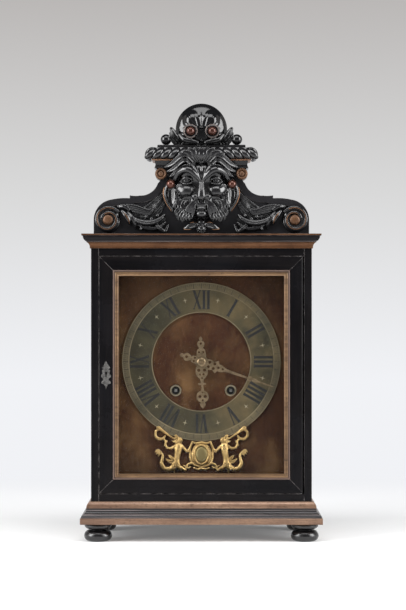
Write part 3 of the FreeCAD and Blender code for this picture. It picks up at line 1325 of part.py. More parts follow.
def gadroon_grooves():
    """The rounded grooves between the lobes, on the front leaning in towards the middle and upright on the ends."""
    tall, small = value("gadroon_height"), value("gadroon_groove")
    low, front, core = value(f"{CAP_LOW} + frieze_height"), value(CAP_FRONT), value(CAP_CORE)
    chord = FreeCAD.Vector(GADROON_IN - GADROON_OUT, tall - GADROON_RISE, 0)
    radius = (chord.Length ** 2 / 4 + GADROON_SAGITTA ** 2) / (2 * GADROON_SAGITTA)
    outward = Vector(chord.y, -chord.x, 0).normalize()
    middle = Vector(GADROON_OUT, GADROON_RISE, 0) + chord * 0.5 - outward * (radius - GADROON_SAGITTA)
    span = 4 * value("cap_half_width")
    lobes = int(value("gadroon_lobes"))
    pitch = 2 * (core + GADROON_OUT) / (lobes + 0.2)
    room = Part.makeBox(span, span, tall, Vector(-span / 2, front - middle.x - span, low))
    grooves = []
    for i in range(1 - lobes // 2, lobes // 2):
        lean = math.radians(value("gadroon_lean")) * ((i > 0) - (i < 0))
        axis = Vector(math.cos(lean), 0, math.sin(lean))
        torus = Part.makeTorus(radius, small, Vector(i * pitch, front - middle.x, low + middle.y), axis)
        grooves.append(torus.common(room))
    for side in (-1, 1):
        start = side * (core + middle.x)
        end_room = Part.makeBox(span, span, tall, Vector(min(start, start + side * span), -span / 2, low))
        for j in range(int(value(f"{CAP_BACK} - {CAP_FRONT}") / pitch) + 1):
            spot = Vector(start, front - pitch / 2 + j * pitch, low + middle.y)
            grooves.append(Part.makeTorus(radius, small, spot, Vector(0, 1, 0)).common(end_room))
    return grooves


def in_front(shape, face):
    """What stands of a shape in front of a flat face."""
    box = shape.BoundBox
    span = 4 * box.DiagonalLength
    return shape.cut(Part.makeBox(span, span, span, Vector(box.Center.x - span / 2, face, box.Center.z - span / 2)))


def knob(face, x, z, radius, height):
    """A round swelling on a flat face: part of a ball with the footprint and height given."""
    ball = (radius ** 2 + height ** 2) / (2 * height)
    return in_front(Part.makeSphere(ball, Vector(x, face + ball - height, z)), face)


def limb(face, *points):
    """A tapering rounded limb on a flat face through points of (x, forward, z, radius)."""
    overlap = 1.02
    spots = [Vector(x, face - forward, z) for x, forward, z, _ in points]
    radii = [point[3] for point in points]
    pieces = [Part.makeSphere(overlap * radius, spot) for spot, radius in zip(spots, radii)]
    for first, last, start, end in zip(spots, spots[1:], radii, radii[1:]):
        pieces.append(Part.makeCone(start, end, (last - first).Length, first, last - first))
    return in_front(pieces[0].fuse(pieces[1:]), face)


# The mask's swellings: across, up, radius and height, as shares of its half width, height, half width and depth
MASK_KNOBS = [
    (0, 0.62, 0.58, 0.72),
    (0, 0.82, 0.5, 0.82),
    (0.3, 0.6, 0.35, 0.76),
    (0, 0.36, 0.4, 0.7),
    (0.22, 0.28, 0.3, 0.56),
    (0.42, 0.4, 0.28, 0.52),
    (0, 0.22, 0.24, 0.5),
    (0.78, 0.56, 0.21, 0.34),
    (0.75, 0.44, 0.17, 0.27),
    (0.27, 0.085, 0.15, 0.26),
    (0, 0.075, 0.12, 0.32),
    (0.36, 0.69, 0.1, 0.82),
    (0.16, 0.465, 0.09, 0.84),
    (0.34, 0.585, 0.12, 0.84),
    (0.84, 0.645, 0.13, 0.42),
]

# Its limbs, brows, nose, moustache and hair: two ends of across, forward, up and radius in the same shares
MASK_LIMBS = [
    ((0.1, 0.72, 0.735, 0.1), (0.55, 0.5, 0.79, 0.07)),
    ((0, 0.7, 0.7, 0.07), (0, 0.8, 0.57, 0.13)),
    ((0.08, 0.66, 0.49, 0.09), (0.42, 0.5, 0.42, 0.06)),
    ((0.3, 0.4, 0.86, 0.15), (0.84, 0.12, 0.835, 0.09)),
    ((0.2, 0.55, 0.9, 0.13), (0.62, 0.4, 0.92, 0.09)),
    ((0.06, 0.74, 0.7, 0.05), (0.16, 0.7, 0.78, 0.06)),
    ((0.46, 0.4, 0.44, 0.11), (0.6, 0.24, 0.22, 0.07)),
    ((0.34, 0.52, 0.42, 0.11), (0.42, 0.34, 0.2, 0.08)),
    ((0.88, 0.18, 0.62, 0.12), (0.78, 0.12, 0.31, 0.05)),
    ((0, 0.8, 0.9, 0.12), (0, 0.95, 1.02, 0.1)),
    ((0.08, 0.92, 0.97, 0.09), (0.2, 0.96, 1.05, 0.055)),
]


def build_mask():
    """The grotesque mask in front of the crest: rounded swellings and limbs with a flat back on the board."""
    face, base = value(CREST_FACE), value(Z_CREST)
    depth, wide, tall = value("mask_depth"), value("mask_half_width"), value("mask_height")
    solids = []
    for x, up, radius, height in MASK_KNOBS:
        for side in ((1, -1) if x else (1,)):
            solids.append(knob(face, side * x * wide, base + up * tall, radius * wide, height * depth))
    for ends in MASK_LIMBS:
        for side in ((1, -1) if ends[0][0] else (1,)):
            start, end = [(side * x * wide, forward * depth, base + up * tall, radius * wide)
                          for x, forward, up, radius in ends]
            solids.append(limb(face, start, end))
    whole = solids[0].fuse(solids[1:])
    cap, low, gap = value("cap_half_width"), value(CAP_LOW), value("door_gap") / 2
    frieze_front = value(f"{CAP_FRONT} - 12.5") - gap
    lobe_front = value(f"{CAP_FRONT} - {GADROON_OUT}") - gap
    under_cap = Part.makeBox(2 * cap, 2 * cap, 2 * cap, Vector(-cap, frieze_front, low - gap))
    under_lobes = Part.makeBox(2 * cap, 2 * cap, 2 * cap, Vector(-cap, lobe_front, low + value("frieze_height") - gap))
    rooms = [under_cap, under_lobes, finished("crest_rolls"), finished("crest_board")]
    shape_part("crest_mask", whole.cut(rooms).removeSplitter())


def volute(x, y, z, radius, depth, side):
    """A rolled scroll: a spiral band of half turns that closes on a round eye."""
    band = 0.2 * radius
    outer, centre, flip = radius, 0.0, 1
    solids = [Part.makeCylinder(0.42 * radius, depth, Vector(x, y - depth, z), Vector(0, 1, 0))]
    for _ in range(3):
        turn = Part.makeCylinder(outer, 0.8 * depth, Vector(x + side * centre, y - 0.8 * depth, z), Vector(0, 1, 0))
        hole = Part.makeCylinder(outer - band, depth, Vector(x + side * centre, y - depth, z), Vector(0, 1, 0))
        low = -4 * radius if flip > 0 else 0
        half = Part.makeBox(8 * radius, depth, 4 * radius, Vector(x - 4 * radius, y - depth, z + low))
        solids.append(turn.cut(hole).common(half))
        centre += flip * band * 0.6
        outer -= band * 0.6
        flip = -flip
    back = Part.makeCylinder(0.9 * radius, 0.35 * depth, Vector(x, y - 0.35 * depth, z), Vector(0, 1, 0))
    return solids[0].fuse([*solids[1:], back]).removeSplitter()


# The leaves between the scrolls and the mask: two ends of across, forward, up and radius, as shares of the scroll's
# place, depth, radius and radius
SCROLL_LEAVES = [
    ((0.86, 0.2, 1.6, 0.3), (0.62, 0.3, 1.15, 0.42)),
    ((0.66, 0.2, 0.9, 0.38), (0.45, 0.4, 1.3, 0.26)),
    ((0.7, 0.2, 0.45, 0.3), (0.38, 0.3, 0.5, 0.24)),
    ((0.6, 0.2, 1.6, 0.28), (0.42, 0.4, 2.3, 0.2)),
]


def build_crest_scrolls():
    face, base = value(CREST_FACE), value(Z_CREST)
    radius, depth = value("scroll_radius"), value("scroll_depth")
    x, z = value(SCROLL[0]), value(SCROLL[1])
    rooms = [finished("crest_mask"), finished("crest_board")]
    solids = []
    for side in (-1, 1):
        whole = volute(side * x, face, z, radius, depth, side)
        for leaf in SCROLL_LEAVES:
            start, end = [(side * across * x, forward * depth, base + up * radius, thick * radius)
                          for across, forward, up, thick in leaf]
            whole = whole.fuse(limb(face, start, end))
        solids.append(whole.cut(rooms))
    shape_part("crest_scrolls", Part.makeCompound(solids))


def eye(x, y, z, radius, depth):
    """A rolled end with a ball in its dished face, running back from y."""
    roll = Part.makeCylinder(radius, depth, Vector(x, y, z), Vector(0, 1, 0))
    dish = Part.makeCylinder(0.8 * radius, 0.3 * radius, Vector(x, y, z), Vector(0, 1, 0))
    ball = Part.makeSphere(0.58 * radius, Vector(x, y + 0.3 * radius, z))
    return roll.cut(dish).fuse(ball)


def finished(label):
    """The shape of a sub-part made earlier."""
    return next(made for made in sub_parts if made.Label == label).Shape


def shell_grooves(y, low, ball):
    """The flutes that spread over both faces of the shell, dying out towards its foot and its rim."""
    wide, depth, tall = value("shell_radius"), value("shell_depth"), value("shell_height")
    count, deep = int(value("shell_grooves")), value("shell_groove")
    fan, radius = 140.0, 2 * deep
    grooves = []
    for side in (-1, 1):
        centre = Vector(0, y - side * (ball - depth), low + tall - wide)
        for i in range(count):
            angle = math.radians(fan * (i / (count - 1) - 0.5))
            along = Vector(math.sin(angle), 0, math.cos(angle))
            out = (along * (0.6 * wide) + Vector(0, side * (ball - depth / 3), 0)).normalize()
            tangent = (along - out * along.dot(out)).normalize()
            start = centre + out * (ball + radius - deep) - tangent * wide
            grooves.append(Part.makeCylinder(radius, 2 * wide, start, tangent))
    return grooves


def build_finial():
    wide, depth = value("shell_radius"), value("shell_depth")
    low = value(f"{CAP_LOW} + frieze_height + gadroon_height + slab_height")
    tall = value("shell_height")
    y = value(f"{CREST_FACE} + crest_thick/2")
    middle = f"({CAP_LOW} + frieze_height + gadroon_height + slab_height)"
    ball = (wide ** 2 + depth ** 2) / (2 * depth)
    halves = [Part.makeSphere(ball, Vector(0, y + side * (ball - depth), low + tall - wide)) for side in (-1, 1)]
    dome = halves[0].common(halves[1])
    skirt = plate("shell_skirt", f"{CREST_FACE} + crest_thick/2 + 0.8*shell_depth", "1.6*shell_depth", mirrored([
        ("1.08*shell_radius", "0"),
        ("1.14*shell_radius", "0.2*shell_height", "1"),
        ("0.97*shell_radius", "0.5*shell_height", "-1"),
        ("0", "0.6*shell_height"),
    ]))
    skirt.setExpression("Placement.Base.z", bound(middle))
    rolls, rooms = [], []
    for side in (-1, 1):
        place_x, place_z = side * 0.43 * wide, low + 0.27 * tall
        rolls.append(eye(place_x, y - 1.05 * depth, place_z, 0.29 * wide, 0.75 * depth))
        rooms.append(Part.makeCylinder(0.29 * wide, 2 * depth, Vector(place_x, y - 2.3 * depth, place_z), Vector(0, 1, 0)))
        end_x, end_z, radius = side * 1.36 * wide, low + 0.235 * wide, 0.235 * wide
        rolls.append(eye(end_x, y - 0.5 * depth, end_z, radius, depth))
        rooms.append(Part.makeCylinder(radius, depth, Vector(end_x, y - 0.5 * depth, end_z), Vector(0, 1, 0)))
    doc.recompute()
    under = Part.makeBox(8 * wide, 8 * wide, 8 * wide, Vector(-4 * wide, y - 4 * wide, low - 8 * wide))
    shell = dome.cut(shell_grooves(y, low, ball)).fuse(skirt.Shape)
    shape_part("finial_shell", shell.cut([under, *rooms]).removeSplitter())
    board_shape, cap_shape = finished("crest_board"), finished("crest_cap")
    for side in (-1, 1):
        disc_x, disc_z = side * value("0.373*crest_half_width"), value(f"{Z_CREST} + 0.91*crest_height")
        disc = eye(disc_x, value(CREST_FACE) - 4, disc_z, value("0.087*crest_height"), value("crest_thick") + 4)
        rolls.append(disc.cut([board_shape, cap_shape]))
    shape_part("crest_rolls", Part.makeCompound(rolls))


build_feet()
build_plinth()
build_carcass()
build_cornice()
build_door_frame()
build_door_fittings()
build_rear_door()
build_dial()
build_hands()
build_mount()
build_plates()
build_bell()
build_pendulum()
build_going_train()
build_motion_work()
build_strike_train()
build_crest_board()
build_crest_cap()
doc.recompute()
build_finial()
build_mask()
build_crest_scrolls()
doc.recompute()

faulty = [made.Label for made in doc.Objects if "Invalid" in made.State or "Error" in made.State]
faulty += [made.Label for made in sub_parts if made.Shape.isNull() or not made.Shape.isValid()]
if faulty:
    raise RuntimeError(f"These did not build: {sorted(set(faulty))}")

os.makedirs("parts", exist_ok=True)
for made in sub_parts:
    made.Shape.exportStep(os.path.join("parts", f"{made.Label}.step"))
print(len(sub_parts), "sub-parts written")
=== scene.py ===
"""Dresses the religieuse clock: finishes for its wood and brass, and the carving, velvet and engraving.

Sizes in the classes are millimetres in the frame of the part: +Z up, front towards -Y, origin on the floor.
"""
import logging
import math
from dataclasses import dataclass, field
from enum import Enum
from functools import reduce
from typing import Callable

import bmesh
import bpy
import numpy as np
from mathutils import Matrix, Vector


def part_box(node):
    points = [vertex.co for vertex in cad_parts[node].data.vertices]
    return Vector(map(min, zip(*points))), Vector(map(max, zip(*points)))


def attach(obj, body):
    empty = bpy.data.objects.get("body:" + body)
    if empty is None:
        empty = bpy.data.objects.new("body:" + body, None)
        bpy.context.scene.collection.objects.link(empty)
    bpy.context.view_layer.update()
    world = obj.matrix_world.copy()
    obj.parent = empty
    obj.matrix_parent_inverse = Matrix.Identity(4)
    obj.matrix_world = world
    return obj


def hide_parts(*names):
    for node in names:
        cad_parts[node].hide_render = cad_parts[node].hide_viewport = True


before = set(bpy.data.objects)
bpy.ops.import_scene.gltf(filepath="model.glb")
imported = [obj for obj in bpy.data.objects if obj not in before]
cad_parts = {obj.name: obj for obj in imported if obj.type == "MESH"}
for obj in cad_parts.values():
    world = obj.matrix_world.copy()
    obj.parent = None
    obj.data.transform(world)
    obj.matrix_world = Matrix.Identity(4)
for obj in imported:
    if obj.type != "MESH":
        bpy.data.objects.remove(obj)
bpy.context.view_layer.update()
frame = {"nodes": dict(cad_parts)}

MM = 0.001
PICTURE_HEIGHT = 610
HOURS = 12
MINUTES = 60
# Front of the crest board, top of the cornice, and the smallest radii of a stroke and of a turned end
CREST_BACK = -44.9
CREST_FLOOR = 384.9
THINNEST = 0.15
POLE = 0.001

Colour = tuple[float, float, float]
Point = tuple[float, float, float]
Stroke = list[tuple[float, float, float, float]]
Shape = tuple[list, list]
Socket = bpy.types.NodeSocket

log = logging.getLogger("religieuse_clock")


class Body(str, Enum):
    """Material slots of the record, named with each piece."""

    CASE = "case"


class Slot(str, Enum):
    """Material slots of the record that the pieces take."""

    EBONY = "ebonised_wood"
    COPPER = "copper_gilt_wood"
    RING = "patinated_brass"
    BRASS = "brass"
    VELVET = "velvet"


class Grain(Enum):
    """Direction of the wood grain, as the stretch of the pattern along X, Y and Z."""

    UPRIGHT = (1.0, 1.0, 0.06)
    ACROSS = (0.06, 1.0, 1.0)


# Node trees
class Tree:
    """Adds and links nodes in one node tree."""

    MIX_COLOURS = (6, 7)
    MIX_RESULT = 2

    def __init__(self, tree: bpy.types.NodeTree) -> None:
        """Takes the tree that the nodes go into."""
        self.tree = tree

    def add(self, kind: str, **settings: object) -> bpy.types.Node:
        """Adds a node.

        Args:
            kind: The node's type name.
            settings: Properties to set on it.

        Returns:
            The new node.
        """
        node = self.tree.nodes.new(kind)
        for name, setting in settings.items():
            setattr(node, name, setting)
        return node

    def feed(self, socket: Socket, given: object) -> None:
        """Links a socket into an input, or sets the input's value.

        Args:
            socket: The input.
            given: An output socket or a plain value.
        """
        if isinstance(given, bpy.types.NodeSocket):
            self.tree.links.new(given, socket)
        else:
            socket.default_value = given

    def fill(self, node: bpy.types.Node, **given: object) -> bpy.types.Node:
        """Feeds some of a node's inputs.

        Args:
            node: The node.
            given: A socket or value for each input by name, with _ for a space.

        Returns:
            The node.
        """
        for name, value in given.items():
            self.feed(node.inputs[name.replace("_", " ")], value)
        return node

    def run(self, kind: str, *terms: object, **settings: object) -> Socket:
        """Adds a node and feeds its inputs in their order.

        Args:
            kind: The node's type name.
            terms: A socket or value for each input, as far as they go.
            settings: Properties to set on it.

        Returns:
            Its first output.
        """
        node = self.add(kind, **settings)
        for socket, term in zip(node.inputs, terms):
            self.feed(socket, term)
        return node.outputs[0]

    def maths(self, operation: str, *terms: object) -> Socket:
        """Adds a maths node and gives its result."""
        return self.run("ShaderNodeMath", *terms, operation=operation)

    def times(self, first: object, second: object) -> Socket:
        """Multiplies two values."""
        return self.maths("MULTIPLY", first, second)

    def reach(self, first: Socket, second: Socket) -> Socket:
        """Gives the length of a line from its parts along two axes."""
        return self.maths("SQRT", self.maths("ADD", self.times(first, first), self.times(second, second)))

    def apart(self, share: Socket, wanted: float) -> Socket:
        """Gives how far a value is from a wanted one."""
        return self.maths("ABSOLUTE", self.maths("SUBTRACT", share, wanted))

    def between(self, share: Socket, low: float, high: float) -> Socket:
        """Gives 1 where a value lies between two limits, and 0 elsewhere."""
        return self.times(self.maths("GREATER_THAN", share, low), self.maths("LESS_THAN", share, high))

    def most(self, first: Socket, *others: Socket) -> Socket:
        """Gives the greatest of several values."""
        return reduce(lambda most, other: self.maths("MAXIMUM", most, other), others, first)

    def mix(self, share: object, first: object, second: object) -> Socket:
        """Mixes two colours.

        Args:
            share: Share of the second colour.
            first: A socket or colour.
            second: A socket or colour.

        Returns:
            The mixed colour.
        """
        node = self.add("ShaderNodeMix", data_type="RGBA")
        self.feed(node.inputs[0], share)
        for place, given in zip(self.MIX_COLOURS, (first, second)):
            self.feed(node.inputs[place], (*given, 1.0) if isinstance(given, tuple) else given)
        return node.outputs[self.MIX_RESULT]

    def spread(self, share: Socket, low: float, high: float, start: float = 0.0, end: float = 1.0) -> Socket:
        """Maps a value from one range to another, kept inside it.

        Args:
            share: The value.
            low: Start of its range.
            high: End of its range.
            start: Result at the start.
            end: Result at the end.

        Returns:
            The mapped value.
        """
        return self.run("ShaderNodeMapRange", share, low, high, start, end)

    def level(self, share: Socket, start: float, end: float) -> Socket:
        """Maps a value from 0 to 1 to another range."""
        return self.spread(share, 0.0, 1.0, start, end)

    def noise(self, vector: Socket, scale: object, detail: float = 4.0, rough: float = 0.55) -> Socket:
        """Adds a noise pattern and gives its value."""
        node = self.add("ShaderNodeTexNoise")
        return self.fill(node, Vector=vector, Scale=scale, Detail=detail, Roughness=rough).outputs[0]

    def place(self, stretch: Point = (1.0, 1.0, 1.0), shift: Point = (0.0, 0.0, 0.0)) -> Socket:
        """Gives the point on the piece, moved and then stretched.

        Args:
            stretch: Factors along X, Y and Z.
            shift: Place that becomes the origin, in metres.

        Returns:
            The point.
        """
        moved = self.add("ShaderNodeMapping", vector_type="POINT")
        self.fill(moved, Vector=self.add("ShaderNodeTexCoord").outputs["Object"], Scale=stretch,
                  Location=tuple(-s * m for s, m in zip(stretch, shift)))
        return moved.outputs[0]

    def parts(self, vector: Socket) -> list[Socket]:
        """Splits a vector into its X, Y and Z."""
        return list(self.fill(self.add("ShaderNodeSeparateXYZ"), Vector=vector).outputs)

    def about(self, x: float, z: float) -> tuple[Socket, Socket]:
        """Gives a point's distance across and up, in metres, from a place given in millimetres."""
        across, _, up = self.parts(self.place(shift=(x * MM, 0.0, z * MM)))
        return across, up

    def bump(self, height: Socket, strength: float, depth: float, normal: Socket | None = None) -> Socket:
        """Adds a bump from a height pattern.

        Args:
            height: The pattern.
            strength: Its strength.
            depth: Its depth in metres.
            normal: Normal that it is laid over.

        Returns:
            The normal.
        """
        node = self.fill(self.add("ShaderNodeBump"), Strength=strength, Distance=depth, Height=height)
        if normal is not None:
            self.fill(node, Normal=normal)
        return node.outputs[0]

    def group(self, tree: bpy.types.NodeTree, **given: object) -> list[Socket]:
        """Places a shared node group with its own values.

        Args:
            tree: The group.
            given: Its inputs by name.

        Returns:
            Its outputs.
        """
        return list(self.fill(self.add("ShaderNodeGroup", node_tree=tree), **given).outputs)


class SharedEffects:
    """The shader node groups that several finishes use. Each is built once."""

    def __init__(self) -> None:
        """Builds the three groups."""
        self.grain = self._grain()
        self.edge = self._edge()
        self.mottle = self._mottle()

    @staticmethod
    def _open(name: str, inputs: dict[str, float], outputs: dict[str, str]) -> tuple:
        """Starts a node group.

        Args:
            name: The group's name.
            inputs: Default of each input after the Vector.
            outputs: Socket type of each output.

        Returns:
            The tree helper, the group's input sockets and its output node.
        """
        made = bpy.data.node_groups.new(name, "ShaderNodeTree")
        made.interface.new_socket(name="Vector", in_out="INPUT", socket_type="NodeSocketVector")
        for label, default in inputs.items():
            socket = made.interface.new_socket(name=label, in_out="INPUT", socket_type="NodeSocketFloat")
            socket.default_value = default
        for label, kind in outputs.items():
            made.interface.new_socket(name=label, in_out="OUTPUT", socket_type=kind)
        tree = Tree(made)
        return tree, tree.add("NodeGroupInput").outputs, tree.add("NodeGroupOutput")

    def _grain(self) -> bpy.types.NodeTree:
        """Makes long streaks and short pores of wood grain.

        Returns:
            The group.
        """
        tree, given, out = self._open("wood_grain", {"Scale": 90.0},
                                      {"Streaks": "NodeSocketFloat", "Pores": "NodeSocketFloat"})
        streaks = tree.noise(given["Vector"], given["Scale"], 6.0, 0.62)
        pores = tree.noise(given["Vector"], tree.times(given["Scale"], 7.0), 3.0)
        tree.fill(out, Streaks=tree.spread(streaks, 0.32, 0.68), Pores=tree.spread(pores, 0.42, 0.6))
        return tree.tree

    def _edge(self) -> bpy.types.NodeTree:
        """Makes a mask of rubbed edges and a rounded normal for sharp-cornered pieces.

        Returns:
            The group.
        """
        tree, given, out = self._open("rubbed_edge", {"Radius": 0.0008, "Breakup": 120.0},
                                      {"Mask": "NodeSocketFloat", "Normal": "NodeSocketVector"})
        rounded = tree.run("ShaderNodeBevel", given["Radius"], samples=6)
        surface = tree.add("ShaderNodeNewGeometry").outputs["Normal"]
        turn = tree.add("ShaderNodeVectorMath", operation="DOT_PRODUCT")
        tree.feed(turn.inputs[0], rounded)
        tree.feed(turn.inputs[1], surface)
        sharp = tree.spread(turn.outputs["Value"], 0.995, 0.8)
        patchy = tree.spread(tree.noise(given["Vector"], given["Breakup"], 5.0), 0.38, 0.62)
        tree.fill(out, Mask=tree.times(sharp, patchy), Normal=rounded)
        return tree.tree

    def _mottle(self) -> bpy.types.NodeTree:
        """Makes broad cloudy patches with finer specks.

        Returns:
            The group.
        """
        tree, given, out = self._open("mottle", {"Scale": 20.0},
                                      {"Patches": "NodeSocketFloat", "Specks": "NodeSocketFloat"})
        patches = tree.noise(given["Vector"], given["Scale"], 7.0, 0.6)
        specks = tree.noise(given["Vector"], tree.times(given["Scale"], 14.0), 2.0)
        tree.fill(out, Patches=tree.spread(patches, 0.36, 0.66), Specks=tree.spread(specks, 0.5, 0.72))
        return tree.tree


EFFECTS = SharedEffects()


class Coat(Tree):
    """The nodes of one material, round its Principled shader."""

    def __init__(self, material: bpy.types.Material) -> None:
        """Takes the material."""
        material.use_nodes = True
        super().__init__(material.node_tree)
        self.shader = self.tree.nodes["Principled BSDF"]

    def set(self, **given: object) -> None:
        """Feeds the shader's inputs by name, with _ for a space."""
        self.fill(self.shader, **given)

    def pointiness(self) -> Socket:
        """Gives how far a point stands out of the surface round it."""
        return self.add("ShaderNodeNewGeometry").outputs["Pointiness"]

    def mottle(self, scale: float) -> list[Socket]:
        """Gives cloudy patches and specks of a given scale."""
        return self.group(EFFECTS.mottle, Vector=self.place(), Scale=scale)

    def grain(self, grain: Grain, scale: float) -> list[Socket]:
        """Gives streaks and pores of wood grain of a given scale."""
        return self.group(EFFECTS.grain, Vector=self.place(grain.value), Scale=scale)


# Finishes
@dataclass(frozen=True)
class Finish:
    """What every finish has: a name, and a material that it is laid on."""

    name: str

    def build(self) -> bpy.types.Material:
        """Makes the material.

        Returns:
            The material.
        """
        material = bpy.data.materials.new(self.name)
        self.lay(Coat(material))
        return material

    def lay(self, coat: Coat) -> None:
        """Lays the finish on.

        Args:
            coat: The material's nodes.
        """
        raise NotImplementedError


@dataclass(frozen=True)
class Ebony(Finish):
    """Ebonised joinery: black stain over straight grain, rubbed to brown at the edges."""

    grain: Grain = Grain.UPRIGHT
    stain: Colour = (0.0024, 0.0023, 0.0027)
    brown: Colour = (0.0072, 0.006, 0.006)
    haze: Colour = (0.013, 0.013, 0.017)
    rubbed: Colour = (0.2, 0.18, 0.175)
    gloss: float = 0.24
    shine: float = 0.09

    def lay(self, coat: Coat) -> None:
        """Lays the finish on.

        Args:
            coat: The material's nodes.
        """
        streaks, pores = coat.grain(self.grain, 110.0)
        edge, normal = coat.group(EFFECTS.edge, Vector=coat.place(), Radius=0.001)
        patches, _ = coat.mottle(14.0)
        colour = coat.mix(streaks, self.stain, self.brown)
        colour = coat.mix(coat.times(patches, 0.2), colour, self.haze)
        colour = coat.mix(coat.times(edge, 0.85), colour, self.rubbed)
        height = coat.maths("MULTIPLY_ADD", pores, -0.5, streaks)
        coat.set(Base_Color=colour, Roughness=coat.level(patches, self.gloss - 0.05, self.gloss + 0.08),
                 Specular_IOR_Level=self.shine, Normal=coat.bump(height, 0.25, 0.00025, normal))


@dataclass(frozen=True)
class CarvedEbony(Finish):
    """Waxed carving: glossy black, painted shade in the hollows, grey wear and painted highlight on the high
    parts.
    """

    stain: Colour = (0.006, 0.0058, 0.0066)
    # hollow is the colour of painted shade in the hollows; worn is the grey of wear and painted highlight on
    # the high parts
    hollow: Colour = (0.0025, 0.0024, 0.0026)
    worn: Colour = (0.05, 0.046, 0.046)
    polished: float = 0.16
    dull: float = 0.28
    shine: float = 0.7

    def lay(self, coat: Coat) -> None:
        """Lays the finish on.

        Args:
            coat: The material's nodes.
        """
        point = coat.pointiness()
        high = coat.spread(point, 0.55, 0.66)
        low = coat.spread(point, 0.48, 0.42)
        patches, _ = coat.mottle(35.0)
        # Painted shade: the hollows, found by pointiness, are darkened
        colour = coat.mix(low, self.stain, self.hollow)
        # Wear and painted highlight: the high parts turn grey in patches
        colour = coat.mix(coat.times(coat.times(high, patches), 0.4), colour, self.worn)
        rough = coat.maths("ADD", coat.level(patches, self.polished, self.dull), coat.times(low, 0.25))
        streaks, _ = coat.grain(Grain.UPRIGHT, 150.0)
        coat.set(Base_Color=colour, Roughness=rough, Specular_IOR_Level=self.shine,
                 Normal=coat.bump(streaks, 0.3, 0.00018))


@dataclass(frozen=True)
class CopperGilt(Finish):
    """Bronze powder gilding on wood: copper brown with lighter rubs and dark scratches."""

    grain: Grain = Grain.ACROSS
    deep: Colour = (0.17, 0.075, 0.04)
    light: Colour = (0.42, 0.235, 0.13)
    bare: Colour = (0.03, 0.018, 0.012)
    metal: float = 0.35
    polished: float = 0.36
    dull: float = 0.5

    def colours(self, coat: Coat) -> tuple[Socket, Socket]:
        """Makes the gilding's colour.

        Args:
            coat: The material's nodes.

        Returns:
            The colour and a height pattern.
        """
        streaks, pores = coat.grain(self.grain, 260.0)
        patches, specks = coat.mottle(22.0)
        blend = coat.maths("MULTIPLY_ADD", streaks, 0.55, coat.times(patches, 0.45))
        scars = coat.times(coat.times(specks, pores), 0.7)
        return coat.mix(scars, coat.mix(blend, self.deep, self.light), self.bare), streaks

    def lay(self, coat: Coat) -> None:
        """Lays the finish on.

        Args:
            coat: The material's nodes.
        """
        colour, height = self.colours(coat)
        _, normal = coat.group(EFFECTS.edge, Vector=coat.place())
        coat.set(Base_Color=colour, Metallic=self.metal,
                 Roughness=coat.level(height, self.dull, self.polished),
                 Normal=coat.bump(height, 0.25, 0.0002, normal))


@dataclass(frozen=True)
class Banded(Finish):
    """A moulding in black with copper-gilt bands between given heights, and light lines of wear and painted
    highlight.
    """

    bands: tuple[tuple[float, float], ...] = ()
    deep: Colour = (0.1, 0.05, 0.032)
    light: Colour = (0.3, 0.185, 0.12)
    stain: Colour = (0.005, 0.0047, 0.0055)
    brown: Colour = (0.016, 0.0135, 0.0145)
    rubbed: Colour = (0.3, 0.23, 0.2)
    # Thin light lines at these heights stand for rubbed step edges: part wear, part painted highlight
    worn_highlight_lines: tuple[float, ...] = ()
    worn: Colour = (0.24, 0.205, 0.2)
    metal: float = 0.35
    shine: float = 0.55
    grain: Grain = Grain.ACROSS

    def lay(self, coat: Coat) -> None:
        """Lays the finish on.

        Args:
            coat: The material's nodes.
        """
        free = coat.place()
        height = coat.parts(free)[2]
        gilt = coat.most(*(coat.between(height, low * MM, high * MM) for low, high in self.bands))
        gilding = CopperGilt(self.name, grain=self.grain, deep=self.deep, light=self.light)
        copper, streaks = gilding.colours(coat)
        black, _ = coat.grain(self.grain, 120.0)
        edge, normal = coat.group(EFFECTS.edge, Vector=free, Radius=0.0007, Breakup=90.0)
        ebony = coat.mix(black, self.stain, self.brown)
        ebony = coat.mix(coat.times(edge, 0.8), ebony, self.rubbed)
        patchy = coat.spread(coat.noise(coat.place(self.grain.value), 160.0), 0.35, 0.6, 0.15, 0.8)
        # Partly wear, partly painted highlight: light lines at the given heights
        for wanted in self.worn_highlight_lines:
            line = coat.spread(coat.apart(height, wanted * MM), 0.0007, 0.0002)
            ebony = coat.mix(coat.times(line, patchy), ebony, self.worn)
        coat.set(Base_Color=coat.mix(gilt, ebony, copper), Metallic=coat.times(gilt, self.metal),
                 Roughness=coat.level(streaks, 0.4, 0.26), Specular_IOR_Level=self.shine,
                 Normal=coat.bump(streaks, 0.22, 0.0002, normal))


@dataclass(frozen=True)
class BeadGilt(CopperGilt):
    """The gilt bead round the glass: rubbed at its outer edge, then a dark line of painted groove shade, then
    warm gilding.
    """

    deep: Colour = (0.075, 0.038, 0.018)
    light: Colour = (0.28, 0.165, 0.08)
    outer: Colour = (0.16, 0.105, 0.085)
    half_width: float = 110.5
    half_height: float = 130.75
    middle_z: float = 208.25
    edge_band: float = 1.5
    # Where the painted shade of the groove starts, in from the outer edge
    groove_shade_band: float = 2.3

    def colours(self, coat: Coat) -> tuple[Socket, Socket]:
        """Makes the gilding's colour by how far in from the bead's outer edge a point is.

        Args:
            coat: The material's nodes.

        Returns:
            The colour and a height pattern.
        """
        gilt, height = super().colours(coat)
        across, up = coat.about(0.0, self.middle_z)
        from_side = coat.maths("SUBTRACT", self.half_width * MM, coat.maths("ABSOLUTE", across))
        from_end = coat.maths("SUBTRACT", self.half_height * MM, coat.maths("ABSOLUTE", up))
        depth = coat.maths("MINIMUM", from_side, from_end)
        # Painted shade: a dark line, in the bare-wood colour, stands for the shade in the bead's groove
        dark = coat.spread(depth, self.groove_shade_band * MM, (self.groove_shade_band + 0.4) * MM, 0.75, 0.0)
        rubbed = coat.spread(depth, self.edge_band * MM, (self.edge_band + 0.3) * MM, 1.0, 0.0)
        return coat.mix(rubbed, coat.mix(dark, gilt, self.bare), self.outer), height


